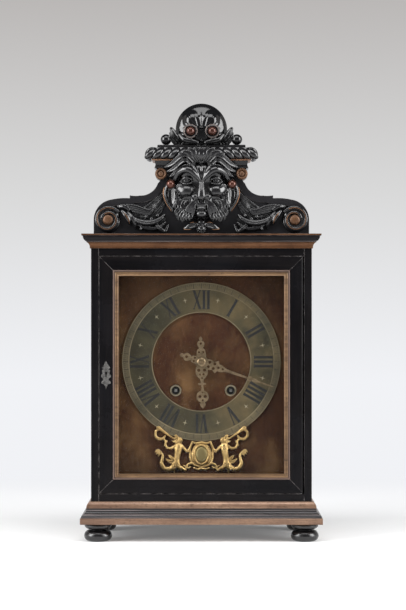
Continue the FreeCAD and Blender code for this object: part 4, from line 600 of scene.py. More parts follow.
@dataclass(frozen=True)
class WinderSteel(Finish):
    """A winding arbor seen in its hole: a dull steel square, with the rest painted dark as the hole's shade.
    """

    centre: tuple[float, float] = (0.0, 0.0)
    half_square: float = 1.7
    steel: Colour = (0.22, 0.215, 0.21)
    worn: Colour = (0.1, 0.09, 0.08)
    # dark is painted shade: the hole's shade laid on the arbor round the square
    dark: Colour = (0.006, 0.006, 0.006)

    def lay(self, coat: Coat) -> None:
        """Lays the finish on.

        Args:
            coat: The material's nodes.
        """
        across, up = coat.about(*self.centre)
        away = coat.most(coat.maths("ABSOLUTE", across), coat.maths("ABSOLUTE", up))
        square = coat.spread(away, self.half_square * MM, (self.half_square + 0.3) * MM, 1.0, 0.0)
        patches, _ = coat.mottle(120.0)
        colour = coat.mix(patches, self.steel, self.worn)
        # Painted shade outside the square
        coat.set(Base_Color=coat.mix(square, self.dark, colour), Roughness=0.55)


@dataclass(frozen=True)
class CollarBrass(Finish):
    """The collars of the winding holes: rubbed bright round the outside, painted dark towards the hole as its
    shade.
    """

    middle: tuple[float, float] = (2.25, 187.5)
    apart: float = 34.75
    bright_from: float = 5.1
    bright: Colour = (0.46, 0.4, 0.28)
    worn: Colour = (0.2, 0.16, 0.1)
    # dark is painted shade: the hole's shade laid on the collar's inner part
    dark: Colour = (0.012, 0.011, 0.009)

    def lay(self, coat: Coat) -> None:
        """Lays the finish on.

        Args:
            coat: The material's nodes.
        """
        across, up = coat.about(*self.middle)
        across = coat.maths("SUBTRACT", coat.maths("ABSOLUTE", across), self.apart * MM)
        outside = coat.spread(coat.reach(across, up), self.bright_from * MM, (self.bright_from + 0.4) * MM)
        patches, _ = coat.mottle(90.0)
        colour = coat.mix(patches, self.bright, self.worn)
        # Painted shade: inside bright_from the collar is near-black and not metallic
        coat.set(Base_Color=coat.mix(outside, self.dark, colour), Metallic=coat.times(outside, 0.9),
                 Roughness=coat.level(patches, 0.3, 0.5))


@dataclass(frozen=True)
class ChasedGilt(Finish):
    """Cast and chased gilding: bright on the high parts, with brown painted shade in the hollows, and fine
    tool marks.
    """

    bright: Colour = (0.72, 0.5, 0.21)
    worn: Colour = (0.36, 0.235, 0.09)
    # hollow is the brown of painted shade in the hollows
    hollow: Colour = (0.05, 0.027, 0.009)

    def lay(self, coat: Coat) -> None:
        """Lays the finish on.

        Args:
            coat: The material's nodes.
        """
        patches, _ = coat.mottle(75.0)
        tooled = coat.noise(coat.place(), 620.0, 3.0, 0.6)
        # Painted shade: the hollows, found by pointiness, are darkened; the tool marks darken at random too
        low = coat.spread(coat.pointiness(), 0.5, 0.42)
        low = coat.most(low, coat.spread(tooled, 0.46, 0.36, 0.0, 0.6))
        colour = coat.mix(patches, self.bright, self.worn)
        coat.set(Base_Color=coat.mix(low, colour, self.hollow), Metallic=1.0,
                 Roughness=coat.level(patches, 0.26, 0.46), Normal=coat.bump(tooled, 0.7, 0.0009))


@dataclass(frozen=True)
class Metal(Finish):
    """Brass, steel or iron with tarnish in patches and fine scratches."""

    clean: Colour = (0.6, 0.42, 0.18)
    tarnish: Colour = (0.2, 0.13, 0.06)
    tarnished: float = 0.5
    gloss: float = 0.3
    scale: float = 30.0

    def lay(self, coat: Coat) -> None:
        """Lays the finish on.

        Args:
            coat: The material's nodes.
        """
        patches, specks = coat.mottle(self.scale)
        speckled = coat.most(coat.times(patches, self.tarnished), coat.times(specks, self.tarnished))
        scratch = coat.noise(coat.place((1.0, 1.0, 6.0)), 700.0, 2.0)
        _, normal = coat.group(EFFECTS.edge, Vector=coat.place(), Radius=0.0003)
        coat.set(Base_Color=coat.mix(speckled, self.clean, self.tarnish), Metallic=1.0,
                 Roughness=coat.level(patches, self.gloss, self.gloss + 0.22),
                 Normal=coat.bump(scratch, 0.12, 0.00006, normal))


@dataclass(frozen=True)
class RingBrass(Finish):
    """The chapter ring: dark olive brass, browner to the right, its edges and minute band rubbed bright."""

    centre_z: float = 224.0
    bright_radii: tuple[float, ...] = (62.5, 91.7, 99.7)
    band: tuple[float, float] = (92.2, 99.2)
    dark: Colour = (0.028, 0.026, 0.016)
    light: Colour = (0.07, 0.062, 0.033)
    brown: Colour = (0.21, 0.155, 0.072)
    bright: Colour = (0.33, 0.265, 0.16)

    def lay(self, coat: Coat) -> None:
        """Lays the finish on.

        Args:
            coat: The material's nodes.
        """
        free = coat.place()
        across, up = coat.about(0.0, self.centre_z)
        radius = coat.reach(across, up)
        patches, _ = coat.mottle(30.0)
        colour = coat.mix(patches, self.dark, self.light)
        clouds = coat.spread(coat.noise(free, 17.0, 5.0, 0.6), 0.36, 0.6)
        to_right = coat.spread(across, -0.05, 0.07, 0.12, 0.85)
        colour = coat.mix(coat.times(clouds, to_right), colour, self.brown)
        lines = [coat.spread(coat.apart(radius, wanted * MM), 0.0008, 0.0003) for wanted in self.bright_radii]
        lines.append(coat.times(coat.between(radius, self.band[0] * MM, self.band[1] * MM), 0.4))
        rub = coat.spread(coat.noise(free, 14.0, 5.0, 0.65), 0.36, 0.64, 0.1, 0.95)
        colour = coat.mix(coat.times(coat.most(*lines), rub), colour, self.bright)
        turned_marks = coat.maths("SINE", coat.times(radius, 9000.0))
        scratched = coat.maths("ADD", turned_marks, coat.noise(free, 900.0, 2.0))
        coat.set(Base_Color=colour, Metallic=0.5, Roughness=coat.level(patches, 0.52, 0.38),
                 Normal=coat.bump(scratched, 0.08, 0.00004))


@dataclass(frozen=True)
class Velvet(Finish):
    """Worn brown-red velvet: upright nap, bald golden patches and a soft sheen."""

    pile: Colour = (0.078, 0.029, 0.0115)
    deep: Colour = (0.022, 0.008, 0.004)
    bald: Colour = (0.25, 0.14, 0.056)
    sheen: Colour = (0.5, 0.28, 0.16)
    thread: float = 0.0011

    def lay(self, coat: Coat) -> None:
        """Lays the finish on.

        Args:
            coat: The material's nodes.
        """
        free = coat.place()
        across, _, up = coat.parts(free)
        wander = coat.noise(free, 60.0, 3.0)
        nap = coat.noise(coat.place((1.0, 1.0, 0.45)), 330.0, 4.0, 0.62)
        blotch = coat.noise(coat.place((1.0, 1.0, 0.75)), 24.0, 7.0, 0.68)
        turns = 2 * math.pi / self.thread
        warp, weft = (coat.maths("SINE", coat.times(run, turns)) for run in (across, up))
        weave = coat.spread(coat.times(coat.times(warp, weft), wander), -0.5, 0.5)
        blotchy = coat.times(coat.spread(blotch, 0.32, 0.68), 0.5)
        mixed = coat.maths("MULTIPLY_ADD", coat.spread(nap, 0.36, 0.64), 0.5, blotchy)
        colour = coat.mix(mixed, self.deep, self.pile)
        low = coat.spread(up, 0.31, 0.19, 0.3, 1.0)
        broad = coat.noise(coat.place((1.0, 1.0, 0.7), (0.03, 0.0, 0.02)), 15.0, 6.0, 0.62)
        thin = coat.times(coat.times(coat.spread(broad, 0.47, 0.66), low), coat.level(weave, 0.4, 1.0))
        colour = coat.mix(coat.times(thin, 0.85), colour, self.bald)
        coat.set(Base_Color=colour, Roughness=0.92, Specular_IOR_Level=0.15, Sheen_Weight=0.1,
                 Sheen_Roughness=0.4, Sheen_Tint=(*self.sheen, 1.0),
                 Normal=coat.bump(coat.maths("ADD", nap, weave), 0.4, 0.0005))


@dataclass(frozen=True)
class Pane(Finish):
    """Old window glass, nearly clear."""

    tint: Colour = (0.02, 0.024, 0.022)
    cover: float = 0.08

    def lay(self, coat: Coat) -> None:
        """Lays the finish on.

        Args:
            coat: The material's nodes.
        """
        patches, _ = coat.mottle(9.0)
        coat.set(Base_Color=(*self.tint, 1.0), Roughness=coat.level(patches, 0.06, 0.14), Alpha=self.cover)


@dataclass(frozen=True)
class Wax(Finish):
    """Black wax in the engraving."""

    fresh: Colour = (0.003, 0.003, 0.004)
    dusty: Colour = (0.014, 0.014, 0.015)

    def lay(self, coat: Coat) -> None:
        """Lays the finish on.

        Args:
            coat: The material's nodes.
        """
        patches, _ = coat.mottle(80.0)
        coat.set(Base_Color=coat.mix(patches, self.fresh, self.dusty), Roughness=0.55)


@dataclass(frozen=True)
class Paper(Finish):
    """The pale backdrop: it takes the shadow, and to the camera it glows from white below to grey above."""

    glow: tuple[tuple[float, Colour], ...] = ((0.0, (0.88, 0.89, 0.92)), (0.45, (0.69, 0.69, 0.69)),
                                              (1.0, (0.46, 0.44, 0.43)))
    front: Colour = (0.05, 0.05, 0.052)
    near: Colour = (0.8, 0.8, 0.8)
    far: Colour = (0.04, 0.04, 0.04)
    lift: float = 0.14

    def lay(self, coat: Coat) -> None:
        """Lays the finish on.

        Args:
            coat: The material's nodes.
        """
        across, deep, up = coat.parts(coat.place())
        away = coat.reach(across, deep)
        ramp = coat.add("ShaderNodeValToRGB")
        middle = ramp.color_ramp.elements.new(self.glow[1][0])
        first, last = ramp.color_ramp.elements[0], ramp.color_ramp.elements[2]
        for stop, (_, colour) in zip((first, middle, last), self.glow):
            stop.color = (*colour, 1.0)
        coat.feed(ramp.inputs[0], coat.spread(up, 0.0, 1.75))
        dimmed = coat.mix(coat.spread(deep, -0.9, -2.6, 0.0, 0.75), ramp.outputs[0], self.front)
        path = coat.add("ShaderNodeLightPath").outputs
        seen = coat.most(path["Is Camera Ray"], path["Is Glossy Ray"], path["Is Transmission Ray"])
        coat.set(Base_Color=coat.mix(coat.spread(away, 0.8, 1.8), self.near, self.far), Roughness=0.9,
                 Specular_IOR_Level=0.1)
        lit = coat.shader.outputs[0]
        glow = coat.run("ShaderNodeEmission", dimmed)
        lift = coat.run("ShaderNodeEmission", (1.0, 1.0, 1.0, 1.0), self.lift)
        floor = coat.run("ShaderNodeAddShader", lit, lift)
        distant = coat.most(coat.spread(deep, 0.12, 0.75), coat.spread(away, 0.8, 1.6))
        shown = coat.run("ShaderNodeMixShader", distant, floor, glow)
        both = coat.run("ShaderNodeMixShader", seen, lit, shown)
        coat.fill(coat.tree.nodes["Material Output"], Surface=both)


@dataclass
class Finishes:
    """Every finish of the clock, made once."""

    made: dict[str, bpy.types.Material] = field(default_factory=dict)

    def use(self, finish: Finish) -> bpy.types.Material:
        """Gives a finish's material, making it the first time.

        Args:
            finish: The finish.

        Returns:
            Its material.
        """
        if finish.name not in self.made:
            self.made[finish.name] = finish.build()
        return self.made[finish.name]


EBONY_UPRIGHT = Ebony("ebony_upright")
EBONY_ACROSS = Ebony("ebony_across", grain=Grain.ACROSS)
# Painted sheen: the crest board's stain is lighter than the other ebony, standing in for a grey sheen
EBONY_CREST_SHEEN = Ebony("ebony_crest", grain=Grain.ACROSS, stain=(0.006, 0.006, 0.0074),
                    brown=(0.012, 0.011, 0.0114), gloss=0.36, shine=0.24)
EBONY_FEET = Ebony("ebony_turned", gloss=0.22, shine=0.6)
EBONY_CARVED = CarvedEbony("ebony_carved")
EBONY_SHELL = CarvedEbony("ebony_shell", stain=(0.004, 0.0039, 0.0044), polished=0.1, dull=0.18, shine=0.5)
COPPER = CopperGilt("copper_gilt")
COPPER_BALL = CopperGilt("copper_ball", deep=(0.03, 0.0095, 0.0065), light=(0.11, 0.04, 0.026), metal=0.5,
                         polished=0.14, dull=0.22)
COPPER_DARK = CopperGilt("copper_dark", deep=(0.045, 0.02, 0.009), light=(0.16, 0.076, 0.034))
PLINTH_BANDS = Banded("plinth_bands", bands=((22.0, 30.1), (41.9, 50.2)), worn_highlight_lines=(30.9, 34.2, 39.6))
CORNICE_BANDS = Banded("cornice_bands", bands=((366.0, 374.05), (382.9, 384.2)), deep=(0.05, 0.02, 0.01),
                       light=(0.17, 0.08, 0.038), worn_highlight_lines=(375.2,), shine=0.12)
BEAD_GILT = BeadGilt("bead_gilt")
WINDER_GOING = WinderSteel("winder_going", centre=(37.0, 187.5))
WINDER_STRIKE = WinderSteel("winder_strike", centre=(-32.5, 187.5))
RIM_GILT = CopperGilt("rubbed_rim", deep=(0.05, 0.04, 0.036), light=(0.3, 0.25, 0.23))
COLLAR = CollarBrass("winding_collar")
OVAL_BRASS = Metal("oval_brass", clean=(0.3, 0.24, 0.11), tarnish=(0.13, 0.105, 0.045), gloss=0.42,
                   scale=45.0)
RING = RingBrass("chapter_ring_brass")
HAND_BRASS = Metal("aged_hand_brass", clean=(0.44, 0.33, 0.2), tarnish=(0.09, 0.062, 0.034), tarnished=0.8,
                   scale=130.0)
STAR_BRASS = Metal("rubbed_brass", clean=(0.5, 0.44, 0.31), tarnish=(0.2, 0.17, 0.1), gloss=0.32)
GILT = ChasedGilt("gilt_mount")
MOVEMENT_BRASS = Metal("movement_brass", clean=(0.66, 0.47, 0.2), tarnish=(0.36, 0.24, 0.1), tarnished=0.4)
BELL_BRONZE = Metal("bell_bronze", clean=(0.5, 0.36, 0.2), tarnish=(0.2, 0.14, 0.08))
STEEL = Metal("movement_steel", clean=(0.42, 0.42, 0.44), tarnish=(0.16, 0.15, 0.14), tarnished=0.4)
IRON = Metal("dark_iron", clean=(0.09, 0.085, 0.085), tarnish=(0.03, 0.022, 0.018), tarnished=0.7, gloss=0.4)
SILVERED = Metal("worn_escutcheon", clean=(0.3, 0.29, 0.28), tarnish=(0.02, 0.019, 0.019), tarnished=1.0,
                 gloss=0.36, scale=150.0)
VELVET = Velvet("worn_velvet")
PANE = Pane("door_pane")
WAX = Wax("black_wax")
PAPER = Paper("pale_paper")


# Meshes
def make_mesh(name: str, points: np.ndarray, faces: list, smooth: bool = True) -> bpy.types.Mesh:
    """Makes a mesh from points in millimetres.

    Args:
        name: The mesh's name.
        points: Its points.
        faces: Its faces, as indices.
        smooth: Whether it is shaded smooth.

    Returns:
        The mesh.
    """
    mesh = bpy.data.meshes.new(name)
    mesh.from_pydata((np.asarray(points, float) * MM).tolist(), [], faces)
    mesh.validate()
    if smooth:
        mesh.shade_smooth()
    return mesh


def smooth_path(stroke: Stroke, steps: int = 6) -> np.ndarray:
    """Runs a smooth line through a stroke's points.

    Args:
        stroke: Points with a radius each.
        steps: Pieces between two points.

    Returns:
        The line's points with their radii.
    """
    known = np.array(stroke, float)
    if len(known) < 3:
        return known
    ends = np.vstack([2 * known[0] - known[1], known, 2 * known[-1] - known[-2]])
    line = []
    for before, start, end, after in zip(ends, ends[1:], ends[2:], ends[3:]):
        for share in np.arange(steps) / steps:
            line.append(0.5 * (2 * start + (end - before) * share
                               + (2 * before - 5 * start + 4 * end - after) * share ** 2
                               + (3 * start - before - 3 * end + after) * share ** 3))
    line.append(known[-1])
    line = np.array(line)
    line[:, 3] = np.maximum(line[:, 3], THINNEST)
    return line


CELL_CORNERS = np.array([(i, j, k) for i in (0, 1) for j in (0, 1) for k in (0, 1)])
CELL_EDGES = [(a, b) for a in range(8) for b in range(a + 1, 8)
              if np.abs(CELL_CORNERS[a] - CELL_CORNERS[b]).sum() == 1]


class Clay:
    """A block for carving, in millimetres: a distance field that shapes are pressed onto or cut from."""

    FAR = 30.0
    GROOVE_REACH = 0.75
    GROOVE_BLEND = 0.5
    THIN_GROOVE = 0.3

    def __init__(self, low: Point, high: Point, pitch: float, mirrored: bool = False) -> None:
        """Sets up an empty block.

        Args:
            low: Lowest corner. A mirrored block starts at x = 0.
            high: Highest corner.
            pitch: Size of a grid cell.
            mirrored: Whether the half at -X repeats the half at +X.
        """
        self.pitch = pitch
        self.mirrored = mirrored
        self.axes = [np.arange(a, b + pitch, pitch, dtype=np.float32) for a, b in zip(low, high)]
        self.field = np.full([len(axis) for axis in self.axes], self.FAR, np.float32)

    def window(self, low: np.ndarray, high: np.ndarray) -> tuple[tuple, list[np.ndarray]]:
        """Finds the grid cells in a box.

        Args:
            low: Lowest corner.
            high: Highest corner.

        Returns:
            The slices and the coordinates, ready to broadcast.
        """
        slices = []
        grid = []
        for i, axis in enumerate(self.axes):
            start, end = np.searchsorted(axis, (low[i], high[i]))
            slices.append(slice(int(start), int(end)))
            shape = [1, 1, 1]
            shape[i] = -1
            grid.append(axis[start:end].reshape(shape))
        return tuple(slices), grid

    def press(self, slices: tuple, distance: np.ndarray, blend: float) -> None:
        """Adds a shape, rounding the corner where it meets the rest.

        Args:
            slices: The cells round the shape.
            distance: How far each cell is outside the shape.
            blend: The rounding.
        """
        here = self.field[slices]
        near = np.maximum(blend - np.abs(here - distance), 0.0) / blend
        self.field[slices] = np.minimum(here, distance) - near * near * blend / 4

    def cut(self, slices: tuple, distance: np.ndarray, blend: float) -> None:
        """Takes a shape away, rounding its edges.

        Args:
            slices: The cells round the shape.
            distance: How far each cell is outside the shape.
            blend: The rounding.
        """
        here = self.field[slices]
        away = -distance
        near = np.maximum(blend - np.abs(here - away), 0.0) / blend
        self.field[slices] = np.maximum(here, away) + near * near * blend / 4

    def ball(self, centre: Point, radii: Point, blend: float = 1.5, take: bool = False) -> None:
        """Adds or takes away an oval.

        Args:
            centre: Its centre.
            radii: Its radii along X, Y and Z.
            blend: How softly it meets the rest.
            take: Whether it is taken away.
        """
        centre, radii = np.array(centre, float), np.array(radii, float)
        reach = radii + blend + 2 * self.pitch
        slices, grid = self.window(centre - reach, centre + reach)
        first = sum(((g - c) / r) ** 2 for g, c, r in zip(grid, centre, radii)) ** 0.5
        second = sum(((g - c) / r ** 2) ** 2 for g, c, r in zip(grid, centre, radii)) ** 0.5
        distance = first * (first - 1) / np.maximum(second, 1e-6)
        (self.cut if take else self.press)(slices, distance, blend)

    def limb(self, stroke: Stroke, blend: float = 1.5, flat: float = 1.0, take: bool = False) -> None:
        """Adds or takes away a tapered roll along a smooth line.

        Args:
            stroke: Points with a radius each.
            blend: How softly it meets the rest.
            flat: Depth of its section as a share of its width.
            take: Whether it is taken away.
        """
        path = smooth_path(stroke)
        reach = path[:, 3].max() + blend + 2 * self.pitch
        slices, grid = self.window(path[:, :3].min(0) - reach, path[:, :3].max(0) + reach)
        squeeze = np.array([1.0, 1.0 / flat, 1.0])
        whole = None
        for start, end in zip(path, path[1:]):
            run = (end - start)[:3] * squeeze
            away = [(g - c) * s for g, c, s in zip(grid, start[:3], squeeze)]
            share = np.clip(sum(a * r for a, r in zip(away, run)) / max(float(run @ run), 1e-9), 0.0, 1.0)
            length = sum((a - share * r) ** 2 for a, r in zip(away, run)) ** 0.5
            distance = (length - start[3] - share * (end[3] - start[3])) * min(flat, 1.0)
            whole = distance if whole is None else np.minimum(whole, distance)
        (self.cut if take else self.press)(slices, whole, blend)

    def lock(self, stroke: Stroke, grooves: int = 2, blend: float = 1.0, flat: float = 0.8,
             depth: float = 0.28) -> None:
        """Adds a lock of hair or a leaf: a tapered roll with grooves along its face.

        Args:
            stroke: Points with a radius each.
            grooves: How many grooves.
            blend: How softly it meets the rest.
            flat: Depth of its section as a share of its width.
            depth: Radius of a groove as a share of the roll's.
        """
        self.limb(stroke, blend, flat)
        path = smooth_path(stroke)
        ahead = np.gradient(path[:, :3], axis=0)
        side = np.stack([-ahead[:, 2], np.zeros(len(path)), ahead[:, 0]], 1)
        side /= np.maximum(np.linalg.norm(side, axis=1, keepdims=True), 1e-6)
        for i in range(grooves):
            off = (i + 1) / (grooves + 1) * 2 * self.GROOVE_REACH - self.GROOVE_REACH
            line = path.copy()
            line[:, :3] += side * (off * path[:, 3:4])
            line[:, 1] -= flat * path[:, 3] * math.sqrt(max(1 - off * off, 0.0))
            line[:, 3] = np.maximum(depth * path[:, 3], self.THIN_GROOVE)
            self.limb([tuple(point) for point in line[::3]], self.GROOVE_BLEND, take=True)

    def fill_behind(self) -> None:
        """Fills the room behind every shape, as a relief cut from one board has it."""
        self.field = np.minimum.accumulate(self.field, axis=1)

    def flat_back(self, y: float) -> None:
        """Cuts the block off flat behind y."""
        self.field = np.maximum(self.field, self.axes[1].reshape(1, -1, 1) - y)

    def flat_floor(self, z: float) -> None:
        """Cuts the block off flat below z."""
        self.field = np.maximum(self.field, z - self.axes[2].reshape(1, 1, -1))

    def surface(self) -> tuple[np.ndarray, np.ndarray]:
        """Finds the surface of the block.

        Returns:
            Its points in millimetres and its four-sided faces.
        """
        solid = self.field
        x_low = self.axes[0][0]
        if self.mirrored:
            solid = np.concatenate([solid[:0:-1], solid])
            x_low = -self.axes[0][-1]
        solid = np.pad(solid, 1, constant_values=self.pitch)
        origin = np.array([x_low, self.axes[1][0], self.axes[2][0]]) - self.pitch
        inside = solid < 0

        def corner(grid: np.ndarray, c: np.ndarray) -> np.ndarray:
            """Gives a grid's values at one corner of every cell."""
            return grid[tuple(slice(k, n - 1 + k) for k, n in zip(c, grid.shape))]

        filled = sum(corner(inside.astype(np.int8), c) for c in CELL_CORNERS)
        active = (filled > 0) & (filled < 8)
        cells = np.argwhere(active)
        values = np.stack([corner(solid, c)[active] for c in CELL_CORNERS], 1)
        total = np.zeros((len(cells), 3))
        count = np.zeros(len(cells))
        for a, b in CELL_EDGES:
            crossed = (values[:, a] < 0) != (values[:, b] < 0)
            first, second = values[crossed, a], values[crossed, b]
            share = (first / (first - second))[:, None]
            total[crossed] += CELL_CORNERS[a] + share * (CELL_CORNERS[b] - CELL_CORNERS[a])
            count[crossed] += 1
        points = (cells + total / count[:, None]) * self.pitch + origin
        number = np.full(active.shape, -1, np.int64)
        number[active] = np.arange(len(cells))
        faces = []
        for axis in range(3):
            u, v = (axis + 1) % 3, (axis + 2) % 3
            ahead = np.roll(inside, -1, axis)
            changed = inside != ahead
            changed[tuple(slice(-1, None) if i == axis else slice(None) for i in range(3))] = False
            nodes = np.argwhere(changed)
            step_u, step_v = np.eye(3, dtype=int)[u], np.eye(3, dtype=int)[v]
            ring = [number[tuple((nodes - s).T)] for s in (step_u + step_v, step_v, 0 * step_u, step_u)]
            quads = np.stack(ring, 1)
            outward = inside[tuple(nodes.T)]
            quads[~outward] = quads[~outward][:, ::-1]
            faces.append(quads)
        return points, np.concatenate(faces)

    def mesh(self, name: str) -> bpy.types.Mesh:
        """Makes the block's surface a mesh, each point eased halfway to the middle of its neighbours.

        Args:
            name: The mesh's name.

        Returns:
            The mesh.
        """
        points, faces = self.surface()
        total = np.zeros_like(points)
        count = np.zeros(len(points))
        for i in range(4):
            for j in (i - 1, (i + 1) % 4):
                np.add.at(total, faces[:, i], points[faces[:, j]])
                np.add.at(count, faces[:, i], 1)
        return make_mesh(name, 0.5 * points + 0.5 * total / count[:, None], faces.tolist())


def prism(outline: list[tuple[float, float]], front: float, back: float) -> Shape:
    """Makes a flat piece parallel to the front.

    Args:
        outline: Its corners (x, z), counter-clockwise seen from the front.
        front: y of its front.
        back: y of its back.

    Returns:
        Its points and faces.
    """
    count = len(outline)
    points = [(x, front, z) for x, z in outline] + [(x, back, z) for x, z in outline]
    faces = [tuple(range(count)), tuple(range(2 * count - 1, count - 1, -1))]
    faces += [(i, i + count, (i + 1) % count + count, (i + 1) % count) for i in range(count)]
    return points, faces


def merged(pieces: list[Shape]) -> tuple[np.ndarray, list]:
    """Joins several shapes into one.

    Args:
        pieces: The shapes.

    Returns:
        All their points and all their faces.
    """
    points, faces = [], []
    for some_points, some_faces in pieces:
        start = len(points)
        points += list(some_points)
        faces += [tuple(i + start for i in face) for face in some_faces]
    return np.array(points, float), faces


def skin(rings: int, sides: int, flipped: bool = False) -> list[tuple[int, ...]]:
    """Covers a stack of rings of points, and closes both ends.

    Args:
        rings: How many rings.
        sides: Points in each.
        flipped: Whether the faces are turned over.

    Returns:
        The faces.
    """
    faces = []
    for near in range(0, (rings - 1) * sides, sides):
        far = near + sides
        for i in range(sides):
            j = (i + 1) % sides
            faces.append((near + i, far + i, far + j, near + j))
    last = (rings - 1) * sides
    ends = [tuple(range(sides)), tuple(range(last + sides - 1, last - 1, -1))]
    if flipped:
        return [(a, d, c, b) for a, b, c, d in faces] + [end[::-1] for end in ends]
    return faces + ends


def turned(profile: list[tuple[float, float]], centre: Point, sides: int = 48) -> Shape:
    """Turns a profile about a line along Y.

    Args:
        profile: Radius and y of each point, from the front to the back. Both ends are closed flat.
        centre: A point on the line.
        sides: Steps round it.

    Returns:
        Points and faces.
    """
    angles = np.linspace(0, 2 * math.pi, sides, endpoint=False)
    points = []
    for radius, y in profile:
        points += [(centre[0] + radius * math.cos(a), centre[1] + y, centre[2] + radius * math.sin(a))
                   for a in angles]
    return points, skin(len(profile), sides)


def bead(centre: Point, radius: float) -> Shape:
    """Makes a ball."""
    profile = [(max(radius * math.sin(a), POLE), -radius * math.cos(a)) for a in np.linspace(0, math.pi, 17)]
    return turned(profile, centre, 28)


def tube(stroke: Stroke, sides: int = 8) -> Shape:
    """Makes a round wire along a smooth line.

    Args:
        stroke: Points with a radius each.
        sides: Steps round it.

    Returns:
        Points and faces.
    """
    path = smooth_path(stroke, 8)
    ahead = np.gradient(path[:, :3], axis=0)
    ahead /= np.linalg.norm(ahead, axis=1, keepdims=True)
    outward = np.tile([0.0, -1.0, 0.0], (len(path), 1))
    outward -= ahead * np.sum(outward * ahead, 1, keepdims=True)
    outward /= np.linalg.norm(outward, axis=1, keepdims=True)
    across = np.cross(ahead, outward)
    points = []
    for here, out, side in zip(path, outward, across):
        for a in np.linspace(0, 2 * math.pi, sides, endpoint=False):
            points.append(tuple(here[:3] + here[3] * (math.cos(a) * out + math.sin(a) * side)))
    return points, skin(len(path), sides, True)


def on_both_sides(*strokes: Stroke) -> list[Shape]:
    """Makes round wires along smooth lines and along their mirror images.

    Args:
        strokes: Points with a radius each, at +X.

    Returns:
        The wires.
    """
    return [tube([(side * x, y, z, radius) for x, y, z, radius in stroke][::side])
            for side in (-1, 1) for stroke in strokes]


# Repeats
class Repeats:
    """Geometry Nodes trees that set a motif out round a circle or along a row."""

    INPUTS = {"Count": "Int", "Start": "Vector", "Step": "Vector", "Turn": "Vector", "Radius": "Float",
              "Phase": "Float", "Motif": "Object", "Finish": "Material"}

    def __init__(self) -> None:
        """Builds both trees."""
        self.round = self._tree("round_repeat", self._round)
        self.row = self._tree("row_repeat", self._row)

    def _tree(self, name: str, lay_out: Callable) -> bpy.types.NodeTree:
        """Builds one tree: points, the motif on each, then real geometry with its finish.

        Args:
            name: The tree's name.
            lay_out: Function that gives each point's place and turn.

        Returns:
            The tree.
        """
        made = bpy.data.node_groups.new(name, "GeometryNodeTree")
        made.interface.new_socket(name="Geometry", in_out="OUTPUT", socket_type="NodeSocketGeometry")
        for label, kind in self.INPUTS.items():
            made.interface.new_socket(name=label, in_out="INPUT", socket_type=f"NodeSocket{kind}")
        tree = Tree(made)
        given = tree.add("NodeGroupInput").outputs
        place, turn = lay_out(tree, given)
        points = tree.fill(tree.add("GeometryNodePoints"), Count=given["Count"], Position=place)
        motif = tree.fill(tree.add("GeometryNodeObjectInfo"), Object=given["Motif"])
        copies = tree.fill(tree.add("GeometryNodeInstanceOnPoints"), Points=points.outputs[0],
                           Instance=motif.outputs["Geometry"], Rotation=turn)
        real = tree.run("GeometryNodeRealizeInstances", copies.outputs[0])
        finish = tree.fill(tree.add("GeometryNodeSetMaterial"), Geometry=real, Material=given["Finish"])
        tree.fill(tree.add("NodeGroupOutput"), Geometry=finish.outputs[0])
        return made

    @staticmethod
    def _round(tree: Tree, given: bpy.types.bpy_prop_collection) -> tuple[Socket, Socket]:
        """Lays points round a circle about a line along Y, each turned to point outwards.

        Args:
            tree: The tree helper.
            given: The tree's inputs.

        Returns:
            A point's place and turn.
        """
        index = tree.run("GeometryNodeInputIndex")
        angle = tree.maths("DIVIDE", tree.times(index, 2 * math.pi), given["Count"])
        angle = tree.maths("ADD", angle, given["Phase"])
        across, up = (tree.times(tree.maths(side, angle), given["Radius"]) for side in ("SINE", "COSINE"))
        spot = tree.run("ShaderNodeCombineXYZ", across, 0.0, up)
        moved = tree.run("ShaderNodeVectorMath", spot, given["Start"], operation="ADD")
        return moved, tree.run("ShaderNodeCombineXYZ", 0.0, angle)

    @staticmethod
    def _row(tree: Tree, given: bpy.types.bpy_prop_collection) -> tuple[Socket, Socket]:
        """Lays points along a straight row, all turned alike.

        Args:
            tree: The tree helper.
            given: The tree's inputs.

        Returns:
            A point's place and turn.
        """
        along = tree.add("ShaderNodeVectorMath", operation="SCALE")
        tree.feed(along.inputs[0], given["Step"])
        tree.fill(along, Scale=tree.run("GeometryNodeInputIndex"))
        moved = tree.run("ShaderNodeVectorMath", along.outputs[0], given["Start"], operation="ADD")
        return moved, given["Turn"]

    def lay(self, tree: bpy.types.NodeTree, name: str, motif: bpy.types.Mesh, material: bpy.types.Material,
            **given: object) -> bpy.types.Mesh:
        """Lays a motif out and gives the result as a plain mesh.

        Args:
            tree: Which of the trees.
            name: The mesh's name.
            motif: Mesh that is repeated.
            material: Its finish.
            given: The tree's other inputs by name.

        Returns:
            The mesh.
        """
        pattern = bpy.data.objects.new(f"{name}_motif", motif)
        holder = bpy.data.objects.new(f"{name}_holder", bpy.data.meshes.new(f"{name}_empty"))
        for made in (pattern, holder):
            bpy.context.scene.collection.objects.link(made)
        modifier = holder.modifiers.new("repeat", "NODES")
        modifier.node_group = tree
        names = {socket.name: socket.identifier for socket in tree.interface.items_tree
                 if socket.in_out == "INPUT"}
        for label, setting in {**given, "Motif": pattern, "Finish": material}.items():
            modifier[names[label]] = setting
        bpy.context.view_layer.update()
        shown = holder.evaluated_get(bpy.context.evaluated_depsgraph_get())
        mesh = bpy.data.meshes.new_from_object(shown)
        mesh.name = name
        for made in (holder, pattern):
            bpy.data.objects.remove(made)
        return mesh


REPEATS = Repeats()


